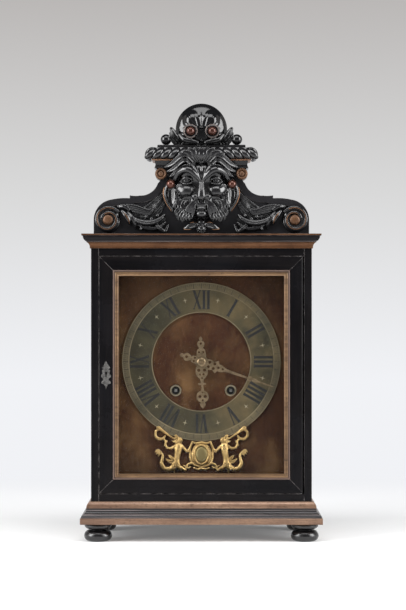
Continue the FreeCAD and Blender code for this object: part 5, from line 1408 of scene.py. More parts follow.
class Workshop:
    """Puts finished pieces in the scene on the case's body and dresses the nodes that stay."""

    def __init__(self, nodes: dict[str, bpy.types.Object]) -> None:
        """Takes the frame's nodes."""
        self.nodes = nodes
        self.finishes = Finishes()

    def fit(self, mesh: bpy.types.Mesh, finish: Finish, slot: Slot, *replaces: str) -> bpy.types.Object:
        """Puts a piece of the case in the scene, under its mesh's name.

        Args:
            mesh: Its mesh, already in place.
            finish: Its finish.
            slot: The record's slot of its finish; not used.
            replaces: Nodes that it stands for.

        Returns:
            The piece.
        """
        mesh.materials.clear()
        mesh.materials.append(self.finishes.use(finish))
        piece = bpy.data.objects.new(mesh.name, mesh)
        bpy.context.scene.collection.objects.link(piece)
        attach(piece, Body.CASE.value)
        if replaces:
            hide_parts(*replaces)
        log.info("%s: %d faces, rides on %s", piece.name, len(mesh.polygons), Body.CASE.value)
        return piece

    def join(self, name: str, shapes: list[Shape], finish: Finish, slot: Slot, smooth: bool = True) -> None:
        """Joins several shapes into one piece and puts it in the scene.

        Args:
            name: The piece's name.
            shapes: Points and faces of each shape.
            finish: Its finish.
            slot: The record's slot of its finish.
            smooth: Whether it is shaded smooth.
        """
        points, faces = merged(shapes)
        self.fit(make_mesh(name, points, faces, smooth), finish, slot)

    def dress(self, finish: Finish, *names: str) -> None:
        """Gives nodes of the frame a finish.

        Args:
            finish: The finish.
            names: The nodes.
        """
        for name in names:
            slots = self.nodes[name].data.materials
            slots.clear()
            slots.append(self.finishes.use(finish))
            log.info("%s: dressed in %s", name, finish.name)


# Sub-assemblies
@dataclass
class Joinery:
    """The case, doors and movement as built, with their finishes."""

    coats: tuple[tuple[Finish, tuple[str, ...]], ...] = (
        (EBONY_UPRIGHT, ("left_side", "right_side", "door_stile_left", "door_stile_right", "rear_door",
                         "dial_battens")),
        (EBONY_ACROSS, ("base_panel", "bottom_board", "top_board", "cornice_panel", "door_rail_bottom",
                        "door_rail_top")),
        (EBONY_CREST_SHEEN, ("crest_board",)),
        (EBONY_FEET, ("foot_front_left", "foot_front_right", "foot_rear_left", "foot_rear_right")),
        (MOVEMENT_BRASS, ("movement_front_plate", "movement_back_plate", "going_barrel", "strike_barrel",
                          "second_wheel", "third_wheel", "escape_wheel", "minute_wheel", "hour_wheel",
                          "pin_wheel", "fly", "pendulum_bob", "rear_latch")),
        (STEEL, ("pallets", "pendulum_rod", "pendulum_cock", "hammer", "bell_stand", "lock_bolt",
                 "door_pivot_pins")),
        (IRON, ("lock_case", "dial_plate")),
        (PLINTH_BANDS, ("plinth_moulding",)),
        (CORNICE_BANDS, ("cornice_moulding",)),
        (BEAD_GILT, ("door_bead",)),
        (BELL_BRONZE, ("bell",)),
        (PANE, ("door_glass",)),
        (RING, ("chapter_ring",)),
        (HAND_BRASS, ("hour_hand", "minute_hand", "hand_collet", "centre_wheel")),
        (COLLAR, ("winding_collets",)),
        (SILVERED, ("escutcheon",)),
        (WINDER_GOING, ("going_winder",)),
        (WINDER_STRIKE, ("strike_winder",)),
    )

    def build(self, shop: Workshop) -> None:
        """Dresses every node that keeps its shape.

        Args:
            shop: The workshop.
        """
        for finish, names in self.coats:
            shop.dress(finish, *names)


@dataclass(frozen=True)
class Letter:
    """One letter: its width, its strokes (foot, head and width) and its serifs (middle and half width)."""

    width: float
    strokes: tuple[tuple[float, float, float], ...]
    feet: tuple[tuple[float, float], ...]
    heads: tuple[tuple[float, float], ...]


LETTERS = {
    "I": Letter(5.6, ((0.0, 0.0, 3.2),), ((0.0, 2.3),), ((0.0, 2.3),)),
    "V": Letter(11.0, ((0.0, -3.6, 3.2), (0.3, 3.8, 1.3)), (), ((-3.6, 2.1), (3.8, 1.5))),
    "X": Letter(12.0, ((3.9, -3.9, 3.2), (-3.9, 3.9, 1.3)), ((3.9, 1.9), (-3.9, 1.5)),
                ((-3.9, 1.9), (3.9, 1.5))),
}


@dataclass
class Dial:
    """The velvet and the engraving of the chapter ring."""

    centre_z: float = 224.0
    ring_front: float = -36.0
    relief: float = 0.08
    numeral_low: float = 66.2
    numeral_high: float = 90.2
    band_low: float = 92.4
    band_high: float = 98.8
    minute_wide: float = 0.55
    quarter_wide: float = 0.3
    quarter_long: float = 3.0
    star_radius: float = 80.0
    star_reach: tuple[float, ...] = (3.2, 0.75, 3.2, 0.75, 4.4, 0.75, 3.2, 0.75)
    star_relief: float = 0.2
    velvet_front: float = -34.0
    velvet_thick: float = 1.3
    velvet_step: float = 2.5
    holes: tuple[Point, ...] = ((0.0, 224.0, 6.5), (37.0, 187.5, 6.3), (-32.5, 187.5, 6.3))
    numerals: tuple[str, ...] = ("XII", "I", "II", "III", "IIII", "V", "VI", "VII", "VIII", "IX", "X", "XI")
    serif: float = 0.9

    def build(self, shop: Workshop) -> None:
        """Makes the velvet and the engraving.

        Args:
            shop: The workshop.
        """
        self.velvet(shop)
        strokes = [shape for hour in range(len(self.numerals)) for shape in self.numeral(hour)]
        shop.join("ring_numerals", strokes, WAX, Slot.RING, False)
        self.minutes(shop)
        self.stars(shop)

    def velvet(self, shop: Workshop) -> None:
        """Makes the stretched velvet over the dial plate.

        Args:
            shop: The workshop.
        """
        low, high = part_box("dial_velvet")
        wide, tall = (high.x - low.x) / MM, (high.z - low.z) / MM
        across = np.linspace(low.x / MM, high.x / MM, round(wide / self.velvet_step) + 1)
        up = np.linspace(low.z / MM, high.z / MM, round(tall / self.velvet_step) + 1)
        made = bmesh.new()
        rows = []
        for z in up:
            rows.append([made.verts.new((x, self.velvet_front + self.slack(x, z), z)) for x in across])
        for lower, upper in zip(rows, rows[1:]):
            for i in range(len(across) - 1):
                made.faces.new((lower[i], lower[i + 1], upper[i + 1], upper[i]))
        for x, z, radius in self.holes:
            gone = [face for face in made.faces
                    if math.hypot(face.calc_center_median().x - x, face.calc_center_median().z - z) < radius]
            bmesh.ops.delete(made, geom=gone, context="FACES")
            for edge in [edge for edge in made.edges if edge.is_boundary]:
                for corner in edge.verts:
                    away = math.hypot(corner.co.x - x, corner.co.z - z)
                    if away < radius + 2 * self.velvet_step:
                        corner.co.x = x + (corner.co.x - x) * radius / away
                        corner.co.z = z + (corner.co.z - z) * radius / away
        bmesh.ops.scale(made, vec=(MM, MM, MM), verts=made.verts)
        bmesh.ops.recalc_face_normals(made, faces=made.faces)
        if sum(face.normal.y for face in made.faces) > 0:
            bmesh.ops.reverse_faces(made, faces=made.faces)
        mesh = bpy.data.meshes.new("velvet_cloth")
        made.to_mesh(mesh)
        made.free()
        mesh.shade_smooth()
        cloth = shop.fit(mesh, VELVET, Slot.VELVET, "dial_velvet")
        wall = cloth.modifiers.new("cloth_thickness", "SOLIDIFY")
        wall.thickness = self.velvet_thick * MM
        wall.offset = -1.0

    @staticmethod
    def slack(x: float, z: float) -> float:
        """Gives how far the stretched cloth stands back from its front plane, in millimetres."""
        ripple = math.sin(x / 23.0 + 0.7 * math.sin(z / 41.0)) + 0.6 * math.sin(z / 31.0 + x / 57.0)
        return 0.1 + 0.06 * ripple

    def spot(self, hour: int, u: float, v: float) -> tuple[float, float]:
        """Turns a numeral's own point to its hour.

        Args:
            hour: The hour.
            u: How far across it is.
            v: How far out from the centre it is.

        Returns:
            Its x and z.
        """
        angle = math.radians(360 / HOURS * hour)
        return (u * math.cos(angle) + v * math.sin(angle),
                self.centre_z - u * math.sin(angle) + v * math.cos(angle))

    def stroke(self, hour: int, low: float, high: float, width: float) -> Shape:
        """Makes one sloping stroke of a numeral.

        Args:
            hour: The numeral's hour.
            low: Middle of its foot.
            high: Middle of its head.
            width: Its width.

        Returns:
            Points and faces.
        """
        half = width / 2
        corners = [(low - half, self.numeral_low), (low + half, self.numeral_low),
                   (high + half, self.numeral_high), (high - half, self.numeral_high)]
        outline = [self.spot(hour, u, v) for u, v in corners]
        return prism(outline, self.ring_front - self.relief, self.ring_front)

    def serif_bar(self, hour: int, u: float, half: float, v: float) -> Shape:
        """Makes one serif.

        Args:
            hour: The numeral's hour.
            u: Its middle.
            half: Half its width.
            v: Its lower edge.

        Returns:
            Points and faces.
        """
        outline = [self.spot(hour, *corner) for corner in
                   ((u - half, v), (u + half, v), (u + half, v + self.serif), (u - half, v + self.serif))]
        return prism(outline, self.ring_front - self.relief - 0.01, self.ring_front)

    def numeral(self, hour: int) -> list[Shape]:
        """Makes the strokes and serifs of one hour's numeral.

        Args:
            hour: The hour, with 0 for twelve.

        Returns:
            The shapes.
        """
        letters = [LETTERS[letter] for letter in self.numerals[hour]]
        at = -sum(letter.width for letter in letters) / 2
        top = self.numeral_high - self.serif
        shapes = []
        for letter in letters:
            middle = at + letter.width / 2
            at += letter.width
            shapes += [self.stroke(hour, middle + low, middle + high, width)
                       for low, high, width in letter.strokes]
            shapes += [self.serif_bar(hour, middle + u, half, self.numeral_low) for u, half in letter.feet]
            shapes += [self.serif_bar(hour, middle + u, half, top) for u, half in letter.heads]
        return shapes

    def minutes(self, shop: Workshop) -> None:
        """Makes the minute track: a tick at each minute and finer ones at each quarter of it.

        Args:
            shop: The workshop.
        """
        high = self.band_high
        ticks = (("minute_ticks", MINUTES, self.minute_wide, self.band_low),
                 ("quarter_ticks", 4 * MINUTES, self.quarter_wide, high - self.quarter_long))
        for name, count, wide, low in ticks:
            outline = [(-wide / 2, low), (wide / 2, low), (wide / 2, high), (-wide / 2, high)]
            self.set_round(shop, name, prism(outline, -self.relief, 0.0), WAX, Slot.RING, Count=count)

    def stars(self, shop: Workshop) -> None:
        """Makes the half-hour marks: a pointed star with a longer foot.

        Args:
            shop: The workshop.
        """
        outline = []
        for i, reach in enumerate(self.star_reach):
            angle = math.radians(90 - 360 / len(self.star_reach) * i)
            outline.append((reach * math.cos(angle), reach * math.sin(angle)))
        star = prism(outline[::-1], -self.star_relief, 0.0)
        self.set_round(shop, "half_hour_stars", star, STAR_BRASS, Slot.BRASS, Count=HOURS,
                       Radius=self.star_radius * MM, Phase=math.radians(180 / HOURS))

    def set_round(self, shop: Workshop, name: str, shape: Shape, finish: Finish, slot: Slot,
                  **given: object) -> None:
        """Sets a mark out round the ring.

        Args:
            shop: The workshop.
            name: The piece's name.
            shape: Points and faces of one mark.
            finish: Its finish.
            slot: The record's slot of its finish.
            given: How the repeat is laid out.
        """
        motif = make_mesh(f"{name}_motif", *shape, False)
        start = (0.0, self.ring_front * MM, self.centre_z * MM)
        mesh = REPEATS.lay(REPEATS.round, name, motif, shop.finishes.use(finish), Start=start, **given)
        shop.fit(mesh, finish, slot)


@dataclass
class CartoucheMount:
    """The gilt mount below the ring: an oval in a shield, held by two horn-blowing sea figures."""

    back: float = -34.0
    oval_z: float = 106.5
    oval_radius: float = 7.6
    oval_stretch: float = 1.32
    clay: Clay = field(default_factory=lambda: Clay((0, -42.5, 80.5), (63.5, -33, 144), 0.5, True))

    def build(self, shop: Workshop) -> None:
        """Carves the mount.

        Args:
            shop: The workshop.
        """
        self.shield()
        self.figure()
        self.tail()
        self.horn()
        self.clay.flat_back(self.back)
        shop.fit(self.clay.mesh("mount_carving"), GILT, Slot.BRASS, "cartouche_mount")
        dome = [(max(1.0 - share, POLE), -1.6 * math.sqrt(max(1 - (1 - share) ** 2, 0)) - 2.4)
                for share in (1, 0.85, 0.6, 0.35, 0.12, 0)]
        dome.append((1, -0.6))
        profile = [(radius * self.oval_radius, height) for radius, height in dome]
        points, faces = turned(profile, (0, self.back, 0), 56)
        points = [(x, y, self.oval_z + z * self.oval_stretch) for x, y, z in points]
        shop.fit(make_mesh("mount_oval", points, faces), OVAL_BRASS, Slot.BRASS)

    def shield(self) -> None:
        """Presses on the shield, the oval's rim and the curls under it."""
        clay, y, z = self.clay, self.back, self.oval_z
        clay.ball((0, y, z), (13.4, 2.2, 15.6), 0.8)
        clay.limb([(0, y - 0.6, z + 15.8, 1.5), (6.5, y - 0.8, z + 14.6, 1.5),
                   (11.6, y - 0.8, z + 15.9, 1.3)], 0.8)
        clay.limb([(11.6, y - 0.8, z + 15.9, 1.2), (12.8, y - 0.8, z + 11.5, 1.2),
                   (14.6, y - 0.6, z + 4, 1.3), (13.9, y - 0.6, z - 6, 1.3), (9.5, y - 0.7, z - 13, 1.4),
                   (0, y - 0.8, z - 15.6, 1.6)], 0.8)
        rim = [(9.0 * math.sin(a), y - 2, z + 12.0 * math.cos(a), 1.45) for a in np.linspace(0, math.pi, 11)]
        clay.limb(rim, 0.8)
        clay.ball((0, y - 2.8, z), (7.4, 1.9, 10), 0.5, take=True)
        clay.limb([(12.5, y - 0.8, z - 11, 1.5), (16.8, y - 0.9, z - 12.2, 1.5),
                   (18.2, y - 1, z - 15.4, 1.3), (15.8, y - 1, z - 17.2, 1.1),
                   (14.2, y - 1, z - 15.2, 0.9)], 0.7)
        clay.limb([(0, y - 1, z - 17.5, 1.8), (4.5, y - 0.9, z - 18.6, 1.5),
                   (9.5, y - 0.8, z - 16.8, 1.1)], 0.8)

    def figure(self) -> None:
        """Presses on the sea figure's body, arms and head."""
        clay, y = self.clay, self.back
        clay.limb([(28.6, y - 2, 117.5, 4.6), (29.6, y - 2.2, 110.5, 4.4), (31, y - 1.9, 103, 3.9),
                   (32, y - 1.6, 96.5, 4.3)], 1, 0.85)
        clay.ball((27.6, y - 3.2, 114.2), (2.6, 1.7, 2.2), 0.8)
        clay.ball((32, y - 3.2, 114), (2.4, 1.6, 2.1), 0.8)
        clay.ball((27, y - 2.9, 124.6), (3.3, 2.7, 3.8), 0.7)
        clay.limb([(28, y - 2.4, 121, 2), (28.4, y - 2.2, 118.5, 2.3)], 0.6)
        for i in range(4):
            swing = 1.9 * i
            clay.limb([(26.5 + 0.6 * i, y - 3.6, 127.6 - 0.4 * i, 1),
                       (29.8 + 0.4 * i, y - 3.2, 127.8 - swing, 1.2),
                       (31.4 + 0.4 * i, y - 2.4, 124.4 - swing, 0.9)], 0.5)
        clay.limb([(24.6, y - 2, 117.2, 2.1), (20.6, y - 2.2, 113, 1.8), (17.6, y - 2, 110.4, 1.6)], 0.7)
        clay.limb([(17.6, y - 2, 110.4, 1.6), (15, y - 2, 114.6, 1.4), (12.6, y - 2, 120.2, 1.3)], 0.7)
        clay.limb([(33.4, y - 2, 117.2, 2.1), (38.6, y - 2.2, 114.6, 1.8), (43.4, y - 2, 115.4, 1.6)], 0.7)
        clay.limb([(43.4, y - 2, 115.4, 1.6), (45.4, y - 2, 119.6, 1.4), (44, y - 2.2, 123.6, 1.4)], 0.7)

    def tail(self) -> None:
        """Presses on the fish tail with its fins and leaf skirt."""
        clay, y = self.clay, self.back
        clay.limb([(31.6, y - 1.8, 97, 4.4), (34.6, y - 2, 91.6, 4.2), (40.6, y - 1.8, 88.2, 3.5),
                   (46.8, y - 1.7, 89.4, 2.9), (50.4, y - 1.6, 95.2, 2.4), (49.4, y - 1.5, 101.4, 1.9),
                   (49, y - 1.5, 106, 1.5), (51.6, y - 1.5, 109.8, 1.3)], 0.9, 0.85)
        for reach in ((57.4, 106.6), (58.8, 109.4), (54.6, 104.4)):
            clay.lock([(51.4, y - 1.6, 109.6, 1.2), ((51.4 + reach[0]) / 2, y - 1.8, reach[1] + 3, 1.5),
                       (reach[0], y - 1.2, reach[1], 0.6)], 1, 0.5)
        for i in range(5):
            top = 97.5 - 1.3 * abs(i - 2)
            clay.lock([(28.4 + 1.9 * i, y - 3.6, top, 1.2), (27.4 + 2.3 * i, y - 3.8, top - 4.6, 1.5),
                       (25.6 + 3.0 * i, y - 2.8, top - 8.4, 0.7)], 1, 0.5)
        for end_x, end_z in ((44.6, 101), (41, 105.6)):
            clay.lock([(33.6, y - 1.8, 97.6, 1.8), ((33.6 + end_x) / 2, y - 2.2, end_z - 3.4, 2.3),
                       (end_x, y - 1.6, end_z, 0.9)], 1, 0.6)
        for end_x, end_z in ((35, 127.6), (36.6, 123.6), (34.2, 130.6)):
            clay.lock([(29, y - 2.2, 125.4, 1.4), ((29.0 + end_x) / 2, y - 2.6, end_z - 0.4, 1.6),
                       (end_x, y - 1.6, end_z, 0.7)], 1, 0.5)
        clay.limb([(30, y - 2, 92.5, 2.2), (25.2, y - 2, 90.2, 2), (20.6, y - 1.6, 86.8, 1.6),
                   (19.6, y - 1.4, 90.6, 1.2), (22.4, y - 1.4, 92.6, 1)], 0.8)
        clay.limb([(34, y - 2.2, 92, 2), (34.6, y - 2, 87.6, 1.6), (34.4, y - 1.6, 84, 1.1)], 0.7)
        for i in range(6):
            x, z = 36.0 + 2.6 * i, 91.4 - 0.9 * i + 0.17 * i * i
            clay.limb([(x, y - 5.4, z + 2.4, 0.5), (x + 0.9, y - 5.6, z, 0.5),
                       (x + 0.4, y - 5.2, z - 2.4, 0.5)], 0.4, take=True)

    def horn(self) -> None:
        """Presses on the horn and the ribbon that hangs from it."""
        clay, y = self.clay, self.back
        clay.limb([(30, y - 3, 124.4, 0.8), (37, y - 2.6, 128.4, 1), (45.6, y - 2.2, 134.2, 1.5),
                   (52.6, y - 2, 139.4, 2.2)], 0.6)
        clay.ball((54.2, y - 2, 140.4), (2.9, 2, 2.4), 0.6)
        clay.limb([(53.6, y - 1.6, 138.6, 1.4), (57.6, y - 1.5, 136, 1.6), (58, y - 1.4, 130.2, 1.8),
                   (53.8, y - 1.4, 126.4, 2), (48.6, y - 1.5, 127, 1.7), (46, y - 1.6, 130, 1.3)], 0.7)
        clay.limb([(47.4, y - 1.6, 126, 1.2), (45.2, y - 1.8, 122.4, 1.2), (46.6, y - 1.6, 118.2, 1)], 0.6)


@dataclass
class CrestMask:
    """The bearded grotesque mask with its swept hair, leaf ears and pendant."""

    ball: Point = (38.6, -53, 447)
    ball_radius: float = 5.5
    berry: Point = (0, -53, 391.4)
    berry_radius: float = 5.4
    seed_reach: float = 5.3
    seed_radius: float = 1.0
    seed_rings: tuple[tuple[int, int], ...] = ((25, 6), (55, 11), (85, 14))
    clay: Clay = field(default_factory=lambda: Clay((0, -70.8, 384.2), (53, -43.5, 493), 0.64, True))

    def build(self, shop: Workshop) -> None:
        """Carves the mask.

        Args:
            shop: The workshop.
        """
        for carve in (self.head, self.brow_and_eyes, self.nose_and_mouth, self.beard, self.hair, self.ears,
                      self.pendant):
            carve()
        self.clay.flat_back(CREST_BACK)
        self.clay.flat_floor(CREST_FLOOR)
        shop.fit(self.clay.mesh("mask_carving"), EBONY_CARVED, Slot.EBONY, "crest_mask")
        self.accents(shop)

    def head(self) -> None:
        """Presses on the skull, forehead, cheekbones, jaw and chin, and hollows the cheeks."""
        clay = self.clay
        clay.ball((0, -46, 438), (32, 12, 37), 3)
        clay.ball((0, -50, 462), (29, 11.5, 14), 4)
        clay.ball((18, -54, 438), (11.4, 8.8, 9.2), 4)
        clay.ball((27, -52.4, 442.6), (5.6, 5, 6.4), 4)
        clay.ball((0, -52, 424), (18, 9, 16), 4)
        clay.ball((19, -62.4, 428.6), (7, 4.6, 4.4), 2.4, take=True)
        clay.ball((0, -58, 409.6), (7.6, 6.6, 5.6), 2)

    def brow_and_eyes(self) -> None:
        """Presses on the frowning brow and sets the eyes."""
        clay = self.clay
        clay.ball((18.2, -65, 451.4), (8.6, 6.6, 5), 2, take=True)
        clay.limb([(2.6, -62.6, 451.6, 2.2), (7, -64.4, 457, 3.2), (14, -64.4, 463.4, 4.2),
                   (21, -61.6, 464.6, 4.4), (29, -56, 460.4, 3.8), (33.6, -51.6, 453, 2.6)], 1.8)
        clay.limb([(2.8, -64, 453.6, 1.5), (5, -63.8, 459.6, 2.2), (8.6, -61, 466.6, 2.2),
                   (11, -58, 472, 1.6)], 1.2)
        clay.limb([(0, -63, 452.8, 0.8), (0, -62.6, 460, 1.1), (0, -60, 468, 0.8)], 1, take=True)
        clay.limb([(13, -61, 469.6, 1.2), (21, -57.8, 470.8, 1.3), (28, -53.8, 467, 1)], 1.2)
        clay.ball((18.2, -55.4, 451), (5.4, 4.6, 4), 0.7)
        clay.limb([(10.6, -58.6, 450, 1), (14.6, -60.8, 453.8, 1.5), (21, -60.2, 454.2, 1.5),
                   (26.4, -55.8, 450, 1)], 0.6)
        clay.limb([(11.4, -58.2, 449, 0.8), (16, -60.2, 447.2, 1.2), (21.6, -59.4, 447.2, 1.2),
                   (25.8, -56, 449.4, 0.8)], 0.6)
        clay.ball((17.6, -60.4, 450.6), (1.3, 1.5, 1.3), 0.4, take=True)
        for i in range(3):
            clay.limb([(26.6, -58, 451.0 - 2.4 * i, 0.6), (29.6, -56.4, 449.4 - 3.4 * i, 0.7),
                       (32, -54, 446.6 - 4.2 * i, 0.5)], 0.5, take=True)

    def nose_and_mouth(self) -> None:
        """Presses on the broad nose, the lips and the moustache."""
        clay = self.clay
        clay.limb([(1.4, -62, 450.4, 0.9), (6, -61, 449.6, 1.1), (11, -60, 450.4, 0.8)], 0.8, take=True)
        clay.limb([(0, -61, 449, 3.4), (0, -62.6, 442.6, 4.4), (0, -64.2, 436, 5.4),
                   (0, -64.2, 431.6, 6)], 1.4)
        clay.ball((7.8, -61.6, 430.8), (5, 4.8, 4.2), 1.2)
        clay.ball((4, -65, 427.2), (1.7, 2.4, 1.3), 0.6, take=True)
        clay.limb([(10.4, -60.4, 434.8, 0.8), (12.6, -59.8, 429.4, 1.1),
                   (13.2, -59, 424.6, 0.8)], 0.8, take=True)
        clay.ball((0, -59.6, 420.6), (8.6, 4.6, 5.6), 1.6)
        clay.limb([(0, -64.6, 419.2, 0.9), (4, -64, 418.8, 1.1), (7.6, -62, 417.4, 0.7)], 0.7, take=True)
        clay.limb([(0, -62.8, 416.2, 1.9), (3.6, -62.2, 416.2, 1.7), (6.6, -60.4, 417.2, 1.1)], 0.7)
        clay.limb([(0, -63.6, 412.6, 0.9), (4, -62.8, 413, 0.9), (7, -60.6, 414.6, 0.6)], 0.7, take=True)
        for i, (rise, reach, drop) in enumerate(((426.6, 20, 411), (424.8, 16.6, 406.6), (423, 12.6, 405))):
            clay.lock([(5, -63.4 + 0.2 * i, rise, 1.5), (9.4, -64.2, rise - 2.4, 2.4),
                       (0.78 * reach, -63.4, rise - 8.4, 2.6), (reach, -61, drop, 2),
                       (reach + 2.4, -58.8, drop - 3.4, 0.9)], 2, 0.5)

    def beard(self) -> None:
        """Presses on the wavy beard, which hangs in a mass on each side of the chin."""
        clay = self.clay
        clay.ball((21, -54.5, 421), (7, 5, 8), 1.5)
        for i, (x, z, length, wave) in enumerate(((29.4, 437, 21, 1.6), (28.6, 430, 23, 1.8),
                                                  (25.8, 427, 25, 1.9), (22.6, 425, 24, 1.7),
                                                  (19.4, 419, 18, 1.6), (16.2, 415, 14, 1.5),
                                                  (12.8, 412.6, 11.4, 1.2))):
            y = -55.4 - 0.75 * i
            lean = 3.0 - 0.2 * i
            clay.lock([(x - 1.4, y + 0.6, z, 1.8), (x - 0.4 + wave, y - 0.8, z - 0.26 * length, 2.3),
                       (x + 0.4 * lean - wave, y - 1, z - 0.52 * length, 2.3),
                       (x + 0.6 * lean + wave, y - 0.6, z - 0.76 * length, 1.9),
                       (x + lean, y + 0.4, z - length, 0.9)], 2, 0.5, 0.8, 0.3)
        for x, z in ((30.4, 424), (29.6, 414.6), (27.4, 408), (21, 404)):
            clay.lock([(x - 3.4, -52.6, z + 6, 1.8), (x + 0.6, -53.6, z + 1.6, 2.2),
                       (x + 2.6, -52.8, z - 3.2, 1.7), (x + 4.4, -51.4, z - 5.4, 0.8)], 1, 0.5)

    def hair(self) -> None:
        """Presses on the crown's tuft and the locks that sweep up and out from the brow like flames."""
        clay = self.clay
        locks = (
            [(9, -59, 474, 2.6), (15, -63, 480.6, 3.4), (20.6, -64.4, 483.6, 3.4),
             (28.6, -62.4, 479.4, 3.4), (37, -56.6, 472.4, 2.8), (45.6, -51.6, 468.4, 1.1)],
            [(13, -58.4, 471.6, 2.2), (19.6, -61.4, 476.6, 3), (27, -58.6, 473.4, 3.2),
             (35, -53.6, 466.4, 2.8), (43.2, -50.2, 462.6, 1)],
            [(24, -56, 469, 1.8), (30, -54.4, 465, 2.4), (36, -51, 459, 2), (40.4, -49.4, 456.6, 0.8)],
            [(6, -60.4, 475.6, 2.2), (11.6, -64.4, 481.6, 2.8), (16.4, -65.8, 485.6, 2.4),
             (21.6, -65.8, 486.6, 1.6), (24, -65.6, 484, 0.8)],
            [(3, -61, 475.4, 2.4), (7.4, -65.2, 482, 2.8), (10.4, -66.4, 487.4, 2.6),
             (14.4, -66.6, 490, 1.6), (17, -66.6, 488.6, 0.8)],
            [(1, -61.6, 475, 2.4), (3.6, -66, 481.6, 2.8), (4.6, -67, 487.6, 2.6),
             (7.6, -67.2, 491.2, 1.6), (10, -67, 490, 0.8)],
            [(0, -61, 474, 2.2), (0.6, -66.4, 480, 2.4), (0.6, -67.6, 486.6, 2.3), (1.6, -67.4, 491.4, 1.2)],
        )
        for lock in locks:
            clay.lock(lock, 2, 0.6, 0.85, 0.3)

    def ears(self) -> None:
        """Presses on the long hollow leaf ears with the bosses for their balls."""
        clay = self.clay
        clay.limb([(37.6, -48, 449, 5.6), (40.4, -48.6, 438, 7.8), (39.4, -48.4, 427, 6.6),
                   (36, -48, 414.6, 2.4)], 1, 0.75)
        clay.limb([(37.6, -53.6, 445, 3.4), (39.4, -54.6, 437, 5.2), (38.6, -54, 427, 4.2),
                   (36.2, -52.6, 418, 1.4)], 0.8, take=True)
        clay.limb([(32.6, -50.6, 446, 1.2), (32.8, -51.6, 434, 1.4), (33.4, -50.8, 419, 1.1)], 0.6)
        clay.ball((38.6, -48.6, 447), (6, 5, 6), 1)

    def pendant(self) -> None:
        """Presses on the petals under the beard."""
        clay = self.clay
        clay.limb([(4.5, -52.6, 396.6, 2.6), (12, -54.2, 394.6, 4.6), (20, -52.6, 391.6, 2.2)], 0.8, 0.7)
        clay.limb([(6, -57, 396, 1.6), (12, -58, 394.6, 2.6), (18, -56.6, 392.2, 1.2)], 0.8, take=True)
        clay.limb([(0, -50, 400, 5), (0, -50, 392, 4.2)], 1)

    def accents(self, shop: Workshop) -> None:
        """Adds the copper balls and rims and the berry.

        Args:
            shop: The workshop.
        """
        x, y, z = self.ball
        balls = [bead((side * x, y, z), self.ball_radius) for side in (-1, 1)]
        shop.join("mask_balls", balls, COPPER_BALL, Slot.COPPER)
        ear = [(39.4, -49.6, 453.8, 0.4), (43.4, -49.9, 447.6, 0.55), (47.6, -50.9, 438, 0.7),
               (45.4, -50.5, 426.4, 0.65), (37.6, -49, 413.4, 0.45)]
        petal = [(5.2, -53.2, 398.8, 0.4), (12, -55.2, 398.8, 0.6), (17.6, -54.1, 395, 0.6),
                 (21.8, -52.9, 390.9, 0.5), (14, -55.1, 390.3, 0.6), (6.4, -53.9, 393.4, 0.4)]
        shop.join("mask_rims", on_both_sides(ear, petal), COPPER, Slot.COPPER)
        x, y, z = self.berry
        berry = [bead(self.berry, self.berry_radius)]
        for ring, count in self.seed_rings:
            out = math.radians(ring)
            wide, ahead = self.seed_reach * math.sin(out), self.seed_reach * math.cos(out)
            for i in range(count):
                turn = 2 * math.pi * (i + 0.5 * (ring % 2)) / count
                seed = (x + wide * math.cos(turn), y - ahead, z + wide * math.sin(turn))
                berry.append(bead(seed, self.seed_radius))
        shop.join("mask_berry", berry, EBONY_CARVED, Slot.EBONY)


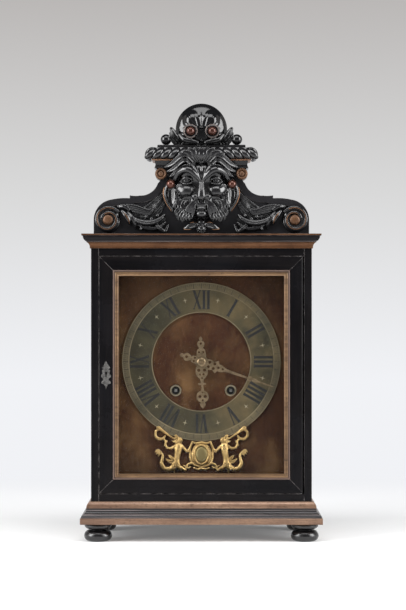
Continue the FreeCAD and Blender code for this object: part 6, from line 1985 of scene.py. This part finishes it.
@dataclass
class CrestScrolls:
    """The volutes and acanthus leaves on the crest board."""

    eye_x: float = 117.4
    eye_z: float = 402.6
    eye_radius: float = 6.6
    eye_profile: tuple[tuple[float, float], ...] = ((POLE, -5.4), (4.6, -5.2), (6.2, -4.2), (6.6, -2.4),
                                                    (6.6, 0))
    eye_back: float = -45.6
    ribbon_y: float = -49.0
    ribbon_gap: float = 1.6
    ribbon_growth: float = 6.4
    ribbon_rise: float = 1.7
    clay: Clay = field(default_factory=lambda: Clay((40, -57.5, 383.6), (136.5, -43.5, 441), 0.6))

    def build(self, shop: Workshop) -> None:
        """Carves both sides.

        Args:
            shop: The workshop.
        """
        self.volute()
        self.leaves()
        self.clay.fill_behind()
        self.clay.flat_back(CREST_BACK)
        self.clay.flat_floor(CREST_FLOOR)
        points, faces = self.clay.surface()
        other = points * np.array([-1, 1, 1])
        both = np.concatenate([points, other])
        turned_faces = faces[:, ::-1] + len(points)
        mesh = make_mesh("scroll_carving", both, np.concatenate([faces, turned_faces]).tolist())
        shop.fit(mesh, EBONY_CARVED, Slot.EBONY, "crest_scrolls")
        self.accents(shop)

    def spiral(self, start: float, end: float, y: float, width: float) -> Stroke:
        """Gives a spiral about the eye, from one turn angle to another in degrees.

        Args:
            start: First angle, counted from the eye's inner side downwards.
            end: Last angle.
            y: Depth of its line.
            width: Radius of the roll.

        Returns:
            The stroke.
        """
        line = []
        for angle in np.arange(start, end + 1, 30):
            reach = self.eye_radius + self.ribbon_gap + self.ribbon_growth * (angle - start) / 360
            a = math.radians(angle)
            line.append((self.eye_x + reach * math.cos(a), y, self.eye_z + reach * math.sin(a), width))
        return line

    def volute(self) -> None:
        """Presses on the volute with its dished ribbon."""
        clay = self.clay
        clay.ball((self.eye_x, -45, self.eye_z), (16, 5.5, 16.6), 1)
        clay.ball((self.eye_x, -52, self.eye_z), (13, 4.6, 13.4), 0.8, take=True)
        clay.limb(self.spiral(20, 500, self.ribbon_y, 1.9), 0.8)

    def leaves(self) -> None:
        """Presses on the leaves that run from the volute to the mask."""
        clay = self.clay
        sweeps = [
            [(99, -48, 413, 2.6), (95, -50.6, 408.4, 3.4), (91.6, -50.2, 402, 3), (90.4, -49, 396.8, 1.1)],
            [(92, -48, 411, 2.4), (87, -50.2, 405.4, 3.1), (83.4, -49.8, 398, 2.6), (83.2, -48.6, 391.6, 1)],
            [(88, -47.6, 409, 2.2), (82.4, -50.2, 402.4, 3.2), (72, -51.4, 398.8, 4),
             (61, -51.6, 399.2, 3.8), (52, -50.6, 403.4, 2.8), (46.4, -49.4, 409, 1)],
            [(81, -47.6, 397.6, 2), (70, -49.8, 392.6, 2.9), (60, -49.8, 391.4, 2.9),
             (51, -49.2, 394.6, 2), (45.4, -48.4, 399.4, 0.9)],
            [(56, -49.6, 396, 2), (51, -51, 391, 2.8), (46.6, -50.2, 388, 2.4), (43.6, -49.8, 391.6, 1.5),
             (41.6, -49.4, 396.4, 1)],
            [(104, -47.6, 419.4, 2), (97, -49.6, 419.6, 2.8), (91, -49.4, 415.6, 2.2)],
        ]
        for i in range(4):
            sweeps.append([(96.0 - 3.0 * i, -47.2, 421.6 - 2.6 * i, 1.5),
                           (82.0 - 1.5 * i, -49.4, 419.4 - 2.7 * i, 2.1),
                           (68.0 - 0.6 * i, -50.4, 414.4 - 1.5 * i, 2.4),
                           (59.4 + 0.9 * i, -50.8, 417.2 - 1.0 * i, 2.1),
                           (57.8 + 0.9 * i, -49.8, 423.4 - 1.6 * i, 1)])
        swells = [
            [(49, -45, 434, 3), (58, -45, 424, 5.6), (72, -45, 413, 6.6), (90, -45, 408, 3.6)],
            [(48, -45, 422, 3.4), (57, -45, 411, 5.4), (70, -45, 404, 4.6), (82, -45, 399, 3)],
            [(47, -45, 404, 2.6), (56, -45, 397, 4.4), (68, -45, 391.6, 3.6)],
        ]
        for stroke in swells:
            clay.lock(stroke, 2, 1.6, 0.45, 0.2)
        for stroke in sweeps:
            clay.lock(stroke, 1, 0.9, 0.95, 0.2)
        for x, z, size in ((62.6, 403.8, 2.4), (69.4, 406.2, 2), (55, 408, 2.2), (76, 391, 1.8)):
            clay.ball((x, -50, z), (size, size, size), 0.8)

    def accents(self, shop: Workshop) -> None:
        """Adds the copper eyes and the copper edge of the ribbon and first leaf.

        Args:
            shop: The workshop.
        """
        profile = list(self.eye_profile)
        eyes = [turned(profile, (side * self.eye_x, self.eye_back, self.eye_z)) for side in (-1, 1)]
        shop.join("scroll_eyes", eyes, COPPER_DARK, Slot.COPPER)
        ribbon = self.spiral(60, 500, self.ribbon_y - self.ribbon_rise, 0.6)
        leaf = [(97.6, -51.4, 411.6, 0.4), (94.6, -53.6, 408, 0.7), (91.4, -53, 402.2, 0.7),
                (90.2, -50.6, 397.6, 0.4)]
        shop.join("scroll_edges", on_both_sides(ribbon, leaf), COPPER_DARK, Slot.COPPER)


@dataclass
class CrestCap:
    """The cap over the mask: frieze, copper fillet, gadroon and slab."""

    low: float = 467.5
    back: float = -11.0
    lobe_pitch: float = 9.9
    lobe_spread: float = 1.58
    lobe_foot: float = 11.2
    front_lobes: int = 7
    side_lobes: int = 4
    front_y: float = -55.5
    side_x: float = 64.5
    side_y: float = -50.0
    lean: float = 30.0

    def build(self, shop: Workshop) -> None:
        """Makes the cap.

        Args:
            shop: The workshop.
        """
        z = self.low
        core = [(59, -49.5, z), (57.6, -48.4, z + 4), (58.6, -49.6, z + 9.4), (60, -51, z + 9.6),
                (60, -51, z + 11.2), (63, -53.6, z + 11.4), (66.6, -57, z + 13), (66.6, -57, z + 16),
                (62, -52.6, z + 25.6), (57, -48.6, z + 25.7), (55.4, -47.2, z + 26.4),
                (55.4, -47.2, z + 28.6), (54.6, -46.4, z + 29.6)]
        shop.fit(self.stack("cap_core", core), EBONY_CARVED, Slot.EBONY, "crest_cap")
        fillet = [(60, -51.2, z + 9.3), (61.8, -53, z + 9.6), (62.3, -53.4, z + 10.6),
                  (61.8, -53, z + 11.6), (60, -51.2, z + 11.9)]
        shop.fit(self.stack("cap_fillet", fillet), COPPER, Slot.COPPER)
        self.lobes(shop)

    def stack(self, name: str, rows: list[tuple[float, float, float]]) -> bpy.types.Mesh:
        """Makes a block of stacked rectangles.

        Args:
            name: The mesh's name.
            rows: Half-width, front and height of each rectangle, from the lowest.

        Returns:
            The mesh.
        """
        points = []
        for half, front, z in rows:
            points += [(-half, front, z), (half, front, z), (half, self.back, z), (-half, self.back, z)]
        return make_mesh(name, points, skin(len(rows), 4, True), False)

    def lobe(self) -> bpy.types.Mesh:
        """Makes one gadroon lobe about its own foot, bulging towards -Y and leaning to -X at its top.

        Returns:
            The mesh.
        """
        bend = [(1.2, 0.6, 0.8), (-0.6, 1.4, 2.4), (-2.6, 3.4, 3.2), (-3.2, 6, 3.3), (-1.9, 8.8, 3.3),
                (0.9, 11, 3.2), (3.8, 12, 2.8), (6, 12.2, 1.6)]
        points, faces = tube([(0, y, z, r) for y, z, r in bend], 20)
        places = np.array(points)
        slope = math.tan(math.radians(self.lean))
        places[:, 0] = self.lobe_spread * places[:, 0] + slope * (6.0 - places[:, 2])
        return make_mesh("gadroon_lobe", places, faces)

    def lobes(self, shop: Workshop) -> None:
        """Sets the lobes out along the front and both sides, leaning away from the middle.

        Args:
            shop: The workshop.
        """
        right = self.lobe()
        left = right.copy()
        left.transform(Matrix.Scale(-1.0, 4, Vector((1.0, 0.0, 0.0))))
        left.flip_normals()
        z = (self.low + self.lobe_foot) * MM
        step, front, aside, first = (size * MM for size in
                                     (self.lobe_pitch, self.front_y, self.side_x, self.side_y))
        rows = (
            ("gadroon_right", right, self.front_lobes, (0.5 * step, front, z), (step, 0.0, 0.0), 0.0),
            ("gadroon_left", left, self.front_lobes, (-0.5 * step, front, z), (-step, 0.0, 0.0), 0.0),
            ("gadroon_right_side", right, self.side_lobes, (aside, first, z), (0.0, step, 0.0), math.pi / 2),
            ("gadroon_left_side", left, self.side_lobes, (-aside, first, z), (0.0, step, 0.0), -math.pi / 2),
        )
        for name, motif, count, start, along, turn in rows:
            mesh = REPEATS.lay(REPEATS.row, name, motif.copy(), shop.finishes.use(EBONY_CARVED), Count=count,
                               Start=start, Step=along, Turn=(0.0, 0.0, turn))
            mesh.shade_smooth()
            shop.fit(mesh, EBONY_CARVED, Slot.EBONY)


@dataclass
class Finial:
    """The fluted shell with its rolled eyes and side scrolls, and the rolls beside the frieze."""

    low: float = 497.2
    middle_y: float = -34.0
    wide: float = 31.4
    deep: float = 15.0
    flutes: int = 23
    flute_depth: float = 0.75
    flute_foot: float = 9.0
    flute_run: tuple[float, float] = (9, 34)
    flute_ends: tuple[float, float] = (8, 10)
    roll_x: float = 13.6
    roll_up: float = 16.2
    roll_ahead: float = 16.4
    rim_y: float = -55.2
    ball_ahead: float = 22.0
    ball_radius: float = 5.6
    frieze_roll: Point = (51, -49, 460.4)
    frieze_profile: tuple[tuple[float, float], ...] = (
        (POLE, -1), (4.2, -1), (4.4, -2.2), (5.2, -3.2), (6.2, -3.4), (7, -2.4), (7.2, -1), (7.2, 26),
        (POLE, 26))
    frieze_eye: tuple[tuple[float, float], ...] = ((POLE, -2.6), (2.4, -2.4), (3.6, -1.2), (4.6, -0.8),
                                                   (4.6, 1))
    clay: Clay = field(default_factory=lambda: Clay((0, -56, 496), (54, -13, 551), 0.6, True))

    def build(self, shop: Workshop) -> None:
        """Carves the shell and its scrolls.

        Args:
            shop: The workshop.
        """
        self.shell()
        self.leaves()
        self.clay.flat_floor(self.low)
        shop.fit(self.clay.mesh("finial_carving"), EBONY_SHELL, Slot.EBONY, "finial_shell", "crest_rolls")
        self.accents(shop)

    def shell(self) -> None:
        """Presses on the dome with its two swellings and cuts its flutes, which spread from its foot."""
        clay, y, z = self.clay, self.middle_y, self.low
        centre_z = z + 20.0
        clay.ball((0, y, centre_z), (self.wide, self.deep, 32.8), 1)
        clay.ball((10.5, y - 8, z + 29), (11.5, 9.5, 13), 3)
        slices, grid = clay.window(np.array([0, -60, 500]), np.array([40, 0, 552]))
        across, _, up = grid
        rise = up - (z + self.flute_foot)
        angle = np.arctan2(across, np.maximum(rise, 0.5))
        away = np.hypot(across, rise)
        inner = np.clip((away - self.flute_run[0]) / self.flute_ends[0], 0, 1)
        outer = np.clip((self.flute_run[1] - away) / self.flute_ends[1], 0, 1)
        depth = inner * outer * self.flute_depth
        wave = 1.0 - np.abs(np.sin(angle * self.flutes / 2))
        clay.field[slices] += (depth * wave ** 2).astype(np.float32)
        rim = [((self.wide - 0.6) * math.sin(a), y - 1, centre_z + 30.9 * math.cos(a), 1.7)
               for a in np.linspace(0, 1.9, 12)]
        clay.limb(rim, 1.2)
        clay.limb([(0, y - 14, z + 44, 0.7), (0, y - 17.6, z + 34, 1.3),
                   (0, y - 17.6, z + 24, 1)], 0.8, take=True)
        clay.limb([(0, y, z - 1, 13), (0, y, z + 7, 11)], 3)
        clay.limb([(0, y, z, 9), (24, y, z, 8)], 3)

    def roll_ring(self, y: float, width: float) -> Stroke:
        """Gives the rim round a front roll's hollow.

        Args:
            y: Depth of its line.
            width: Radius of its section.

        Returns:
            The stroke.
        """
        return [(self.roll_x + 8.0 * math.cos(a), y, self.low + self.roll_up + 8.0 * math.sin(a), width)
                for a in np.linspace(math.radians(-130), math.radians(215), 16)]

    def leaves(self) -> None:
        """Presses on the front rolls, the side scrolls and the leaves between them."""
        clay, y, z = self.clay, self.middle_y, self.low
        front = y - self.roll_ahead
        x, up = self.roll_x, z + self.roll_up
        clay.limb([(x, front, up, 8.9), (x, y - 6, up, 8.6)], 1)
        clay.ball((x, front - 8.6, up), (7, 6.4, 7), 0.5, take=True)
        clay.limb(self.roll_ring(front - 4, 1.15), 0.6)
        clay.limb([(0, y - 12, z + 21, 2), (0, front - 3.4, z + 21, 1.8)], 0.6)
        clay.limb([(0, y - 8, z + 5, 2.2), (0, front - 4.4, z + 4.6, 1.5)], 0.6)
        clay.limb([(6, front - 2, z + 2, 3.2), (14, front - 2.2, z + 4, 3.6),
                   (22, front - 0.6, z + 6.4, 3.2), (27, front + 3, z + 12, 2.6)], 0.9)
        clay.ball((44.6, y - 6, z + 7), (6.9, 6.9, 6.7), 0.8)
        clay.limb([(44.6, y - 4, z + 6.6, 6), (44.6, y + 8, z + 6.6, 6)], 0.8)
        clay.lock([(25, y - 6, z + 2, 4.4), (31, y - 9, z + 7, 5), (34.4, y - 8.6, z + 14, 4.2),
                   (38, y - 7, z + 20.6, 2.2)], 2, 1)
        clay.lock([(33, y - 9, z + 2.4, 3), (37.6, y - 10, z + 8, 2.6), (39.4, y - 9, z + 14.6, 1.4)], 1, 0.9)
        clay.lock([(25, y + 6, z + 2, 4.4), (31, y + 8.4, z + 7, 5), (34.4, y + 8, z + 14, 4.2),
                   (38, y + 6.6, z + 20.6, 2.2)], 0, 1)

    def accents(self, shop: Workshop) -> None:
        """Adds the copper balls of the front rolls and the copper-eyed rolls beside the frieze.

        Args:
            shop: The workshop.
        """
        balls, eyes, rolls = [], [], []
        x, y, z = self.frieze_roll
        for side in (-1, 1):
            place = (side * self.roll_x, self.middle_y - self.ball_ahead, self.low + self.roll_up)
            balls.append(bead(place, self.ball_radius))
            eyes.append(turned(list(self.frieze_eye), (side * x, y, z)))
            rolls.append(turned(list(self.frieze_profile), (side * x, y, z)))
        shop.join("finial_balls", balls, COPPER_BALL, Slot.COPPER)
        shop.join("frieze_eyes", eyes, COPPER_DARK, Slot.COPPER)
        shop.join("frieze_rolls", rolls, COPPER_DARK, Slot.COPPER)
        shop.join("finial_rims", on_both_sides(self.roll_ring(self.rim_y, 0.75)), RIM_GILT, Slot.COPPER)


@dataclass
class Stage:
    """The pale sweep, the soft lights and the camera."""

    camera_height: float = 295.6
    camera_distance: float = 2123.0
    face_y: float = -58.5
    picture_scale: float = 1.25
    centre_x: float = 2.0
    sensor: float = 36.0
    room_radius: float = 5200.0
    room_height: float = 4200.0
    sweep_radius: float = 900.0
    soft_boxes: tuple[tuple[str, Point, tuple[float, float], float], ...] = (
        ("soft_box_left", (-1.7, -0.85, 0.95), (1.0, 1.7), 60.0),
        ("soft_box_right", (1.7, -0.75, 0.9), (1.0, 1.7), 54.0),
        ("soft_box_top", (0.0, -0.75, 1.7), (1.5, 0.8), 20.0),
    )
    aim: Point = (0.0, 0.0, 0.3)
    sky: Colour = (0.9, 0.95, 1.0)
    sky_strength: float = 0.06

    def build(self) -> None:
        """Makes the stage."""
        self.sweep()
        self.lights()
        self.camera()

    def sweep(self) -> None:
        """Makes the round floor that curves up into a backdrop on every side."""
        line = [(1.0, 0.0), (400.0, 0.0), (1200.0, 0.0)]
        bend = self.room_radius - self.sweep_radius
        for angle in np.linspace(0.0, math.pi / 2, 17):
            rise = self.sweep_radius * (1 - math.cos(angle))
            line.append((bend + self.sweep_radius * math.sin(angle), rise))
        line.append((self.room_radius, self.room_height))
        spun, faces = turned([(radius, -height) for radius, height in line], (0.0, 0.0, 0.0), 96)
        points = [(x, z, -y) for x, y, z in spun]
        faces = [face[::-1] for face in faces[:-1]]
        mesh = make_mesh("backdrop", points, faces)
        mesh.materials.append(PAPER.build())
        piece = bpy.data.objects.new("backdrop", mesh)
        bpy.context.scene.collection.objects.link(piece)

    def lights(self) -> None:
        """Sets three soft boxes and a dim even sky."""
        for name, place, size, power in self.soft_boxes:
            light = bpy.data.lights.new(name, "AREA")
            light.shape = "RECTANGLE"
            light.size, light.size_y = size
            light.energy = power
            lamp = bpy.data.objects.new(name, light)
            lamp.location = place
            lamp.visible_camera = False
            lamp.rotation_euler = (Vector(self.aim) - Vector(place)).to_track_quat("-Z", "Y").to_euler()
            bpy.context.scene.collection.objects.link(lamp)
        world = bpy.data.worlds.new("studio")
        world.use_nodes = True
        sky = world.node_tree.nodes["Background"]
        Tree(world.node_tree).fill(sky, Color=(*self.sky, 1.0), Strength=self.sky_strength)
        bpy.context.scene.world = world

    def camera(self) -> None:
        """Sets the camera level with the middle of the picture, so that uprights stay parallel."""
        lens = bpy.data.cameras.new("camera")
        lens.sensor_fit = "VERTICAL"
        lens.sensor_height = self.sensor
        lens.lens = self.sensor * self.camera_distance / (PICTURE_HEIGHT * self.picture_scale)
        eye = bpy.data.objects.new("camera", lens)
        away = self.face_y - self.camera_distance
        eye.location = (self.centre_x * MM, away * MM, self.camera_height * MM)
        eye.rotation_euler = (math.pi / 2, 0.0, 0.0)
        bpy.context.scene.collection.objects.link(eye)
        bpy.context.scene.camera = eye


def main() -> None:
    """Builds and dresses the clock, then the stage."""
    logging.basicConfig(level=logging.INFO, format="%(name)s: %(message)s")
    bpy.context.scene.view_settings.view_transform = "Standard"
    shop = Workshop(frame["nodes"])
    for assembly in (Joinery(), Dial(), CartoucheMount(), CrestMask(), CrestScrolls(), CrestCap(), Finial()):
        assembly.build(shop)
    Stage().build()


if __name__ == "__main__":
    main()
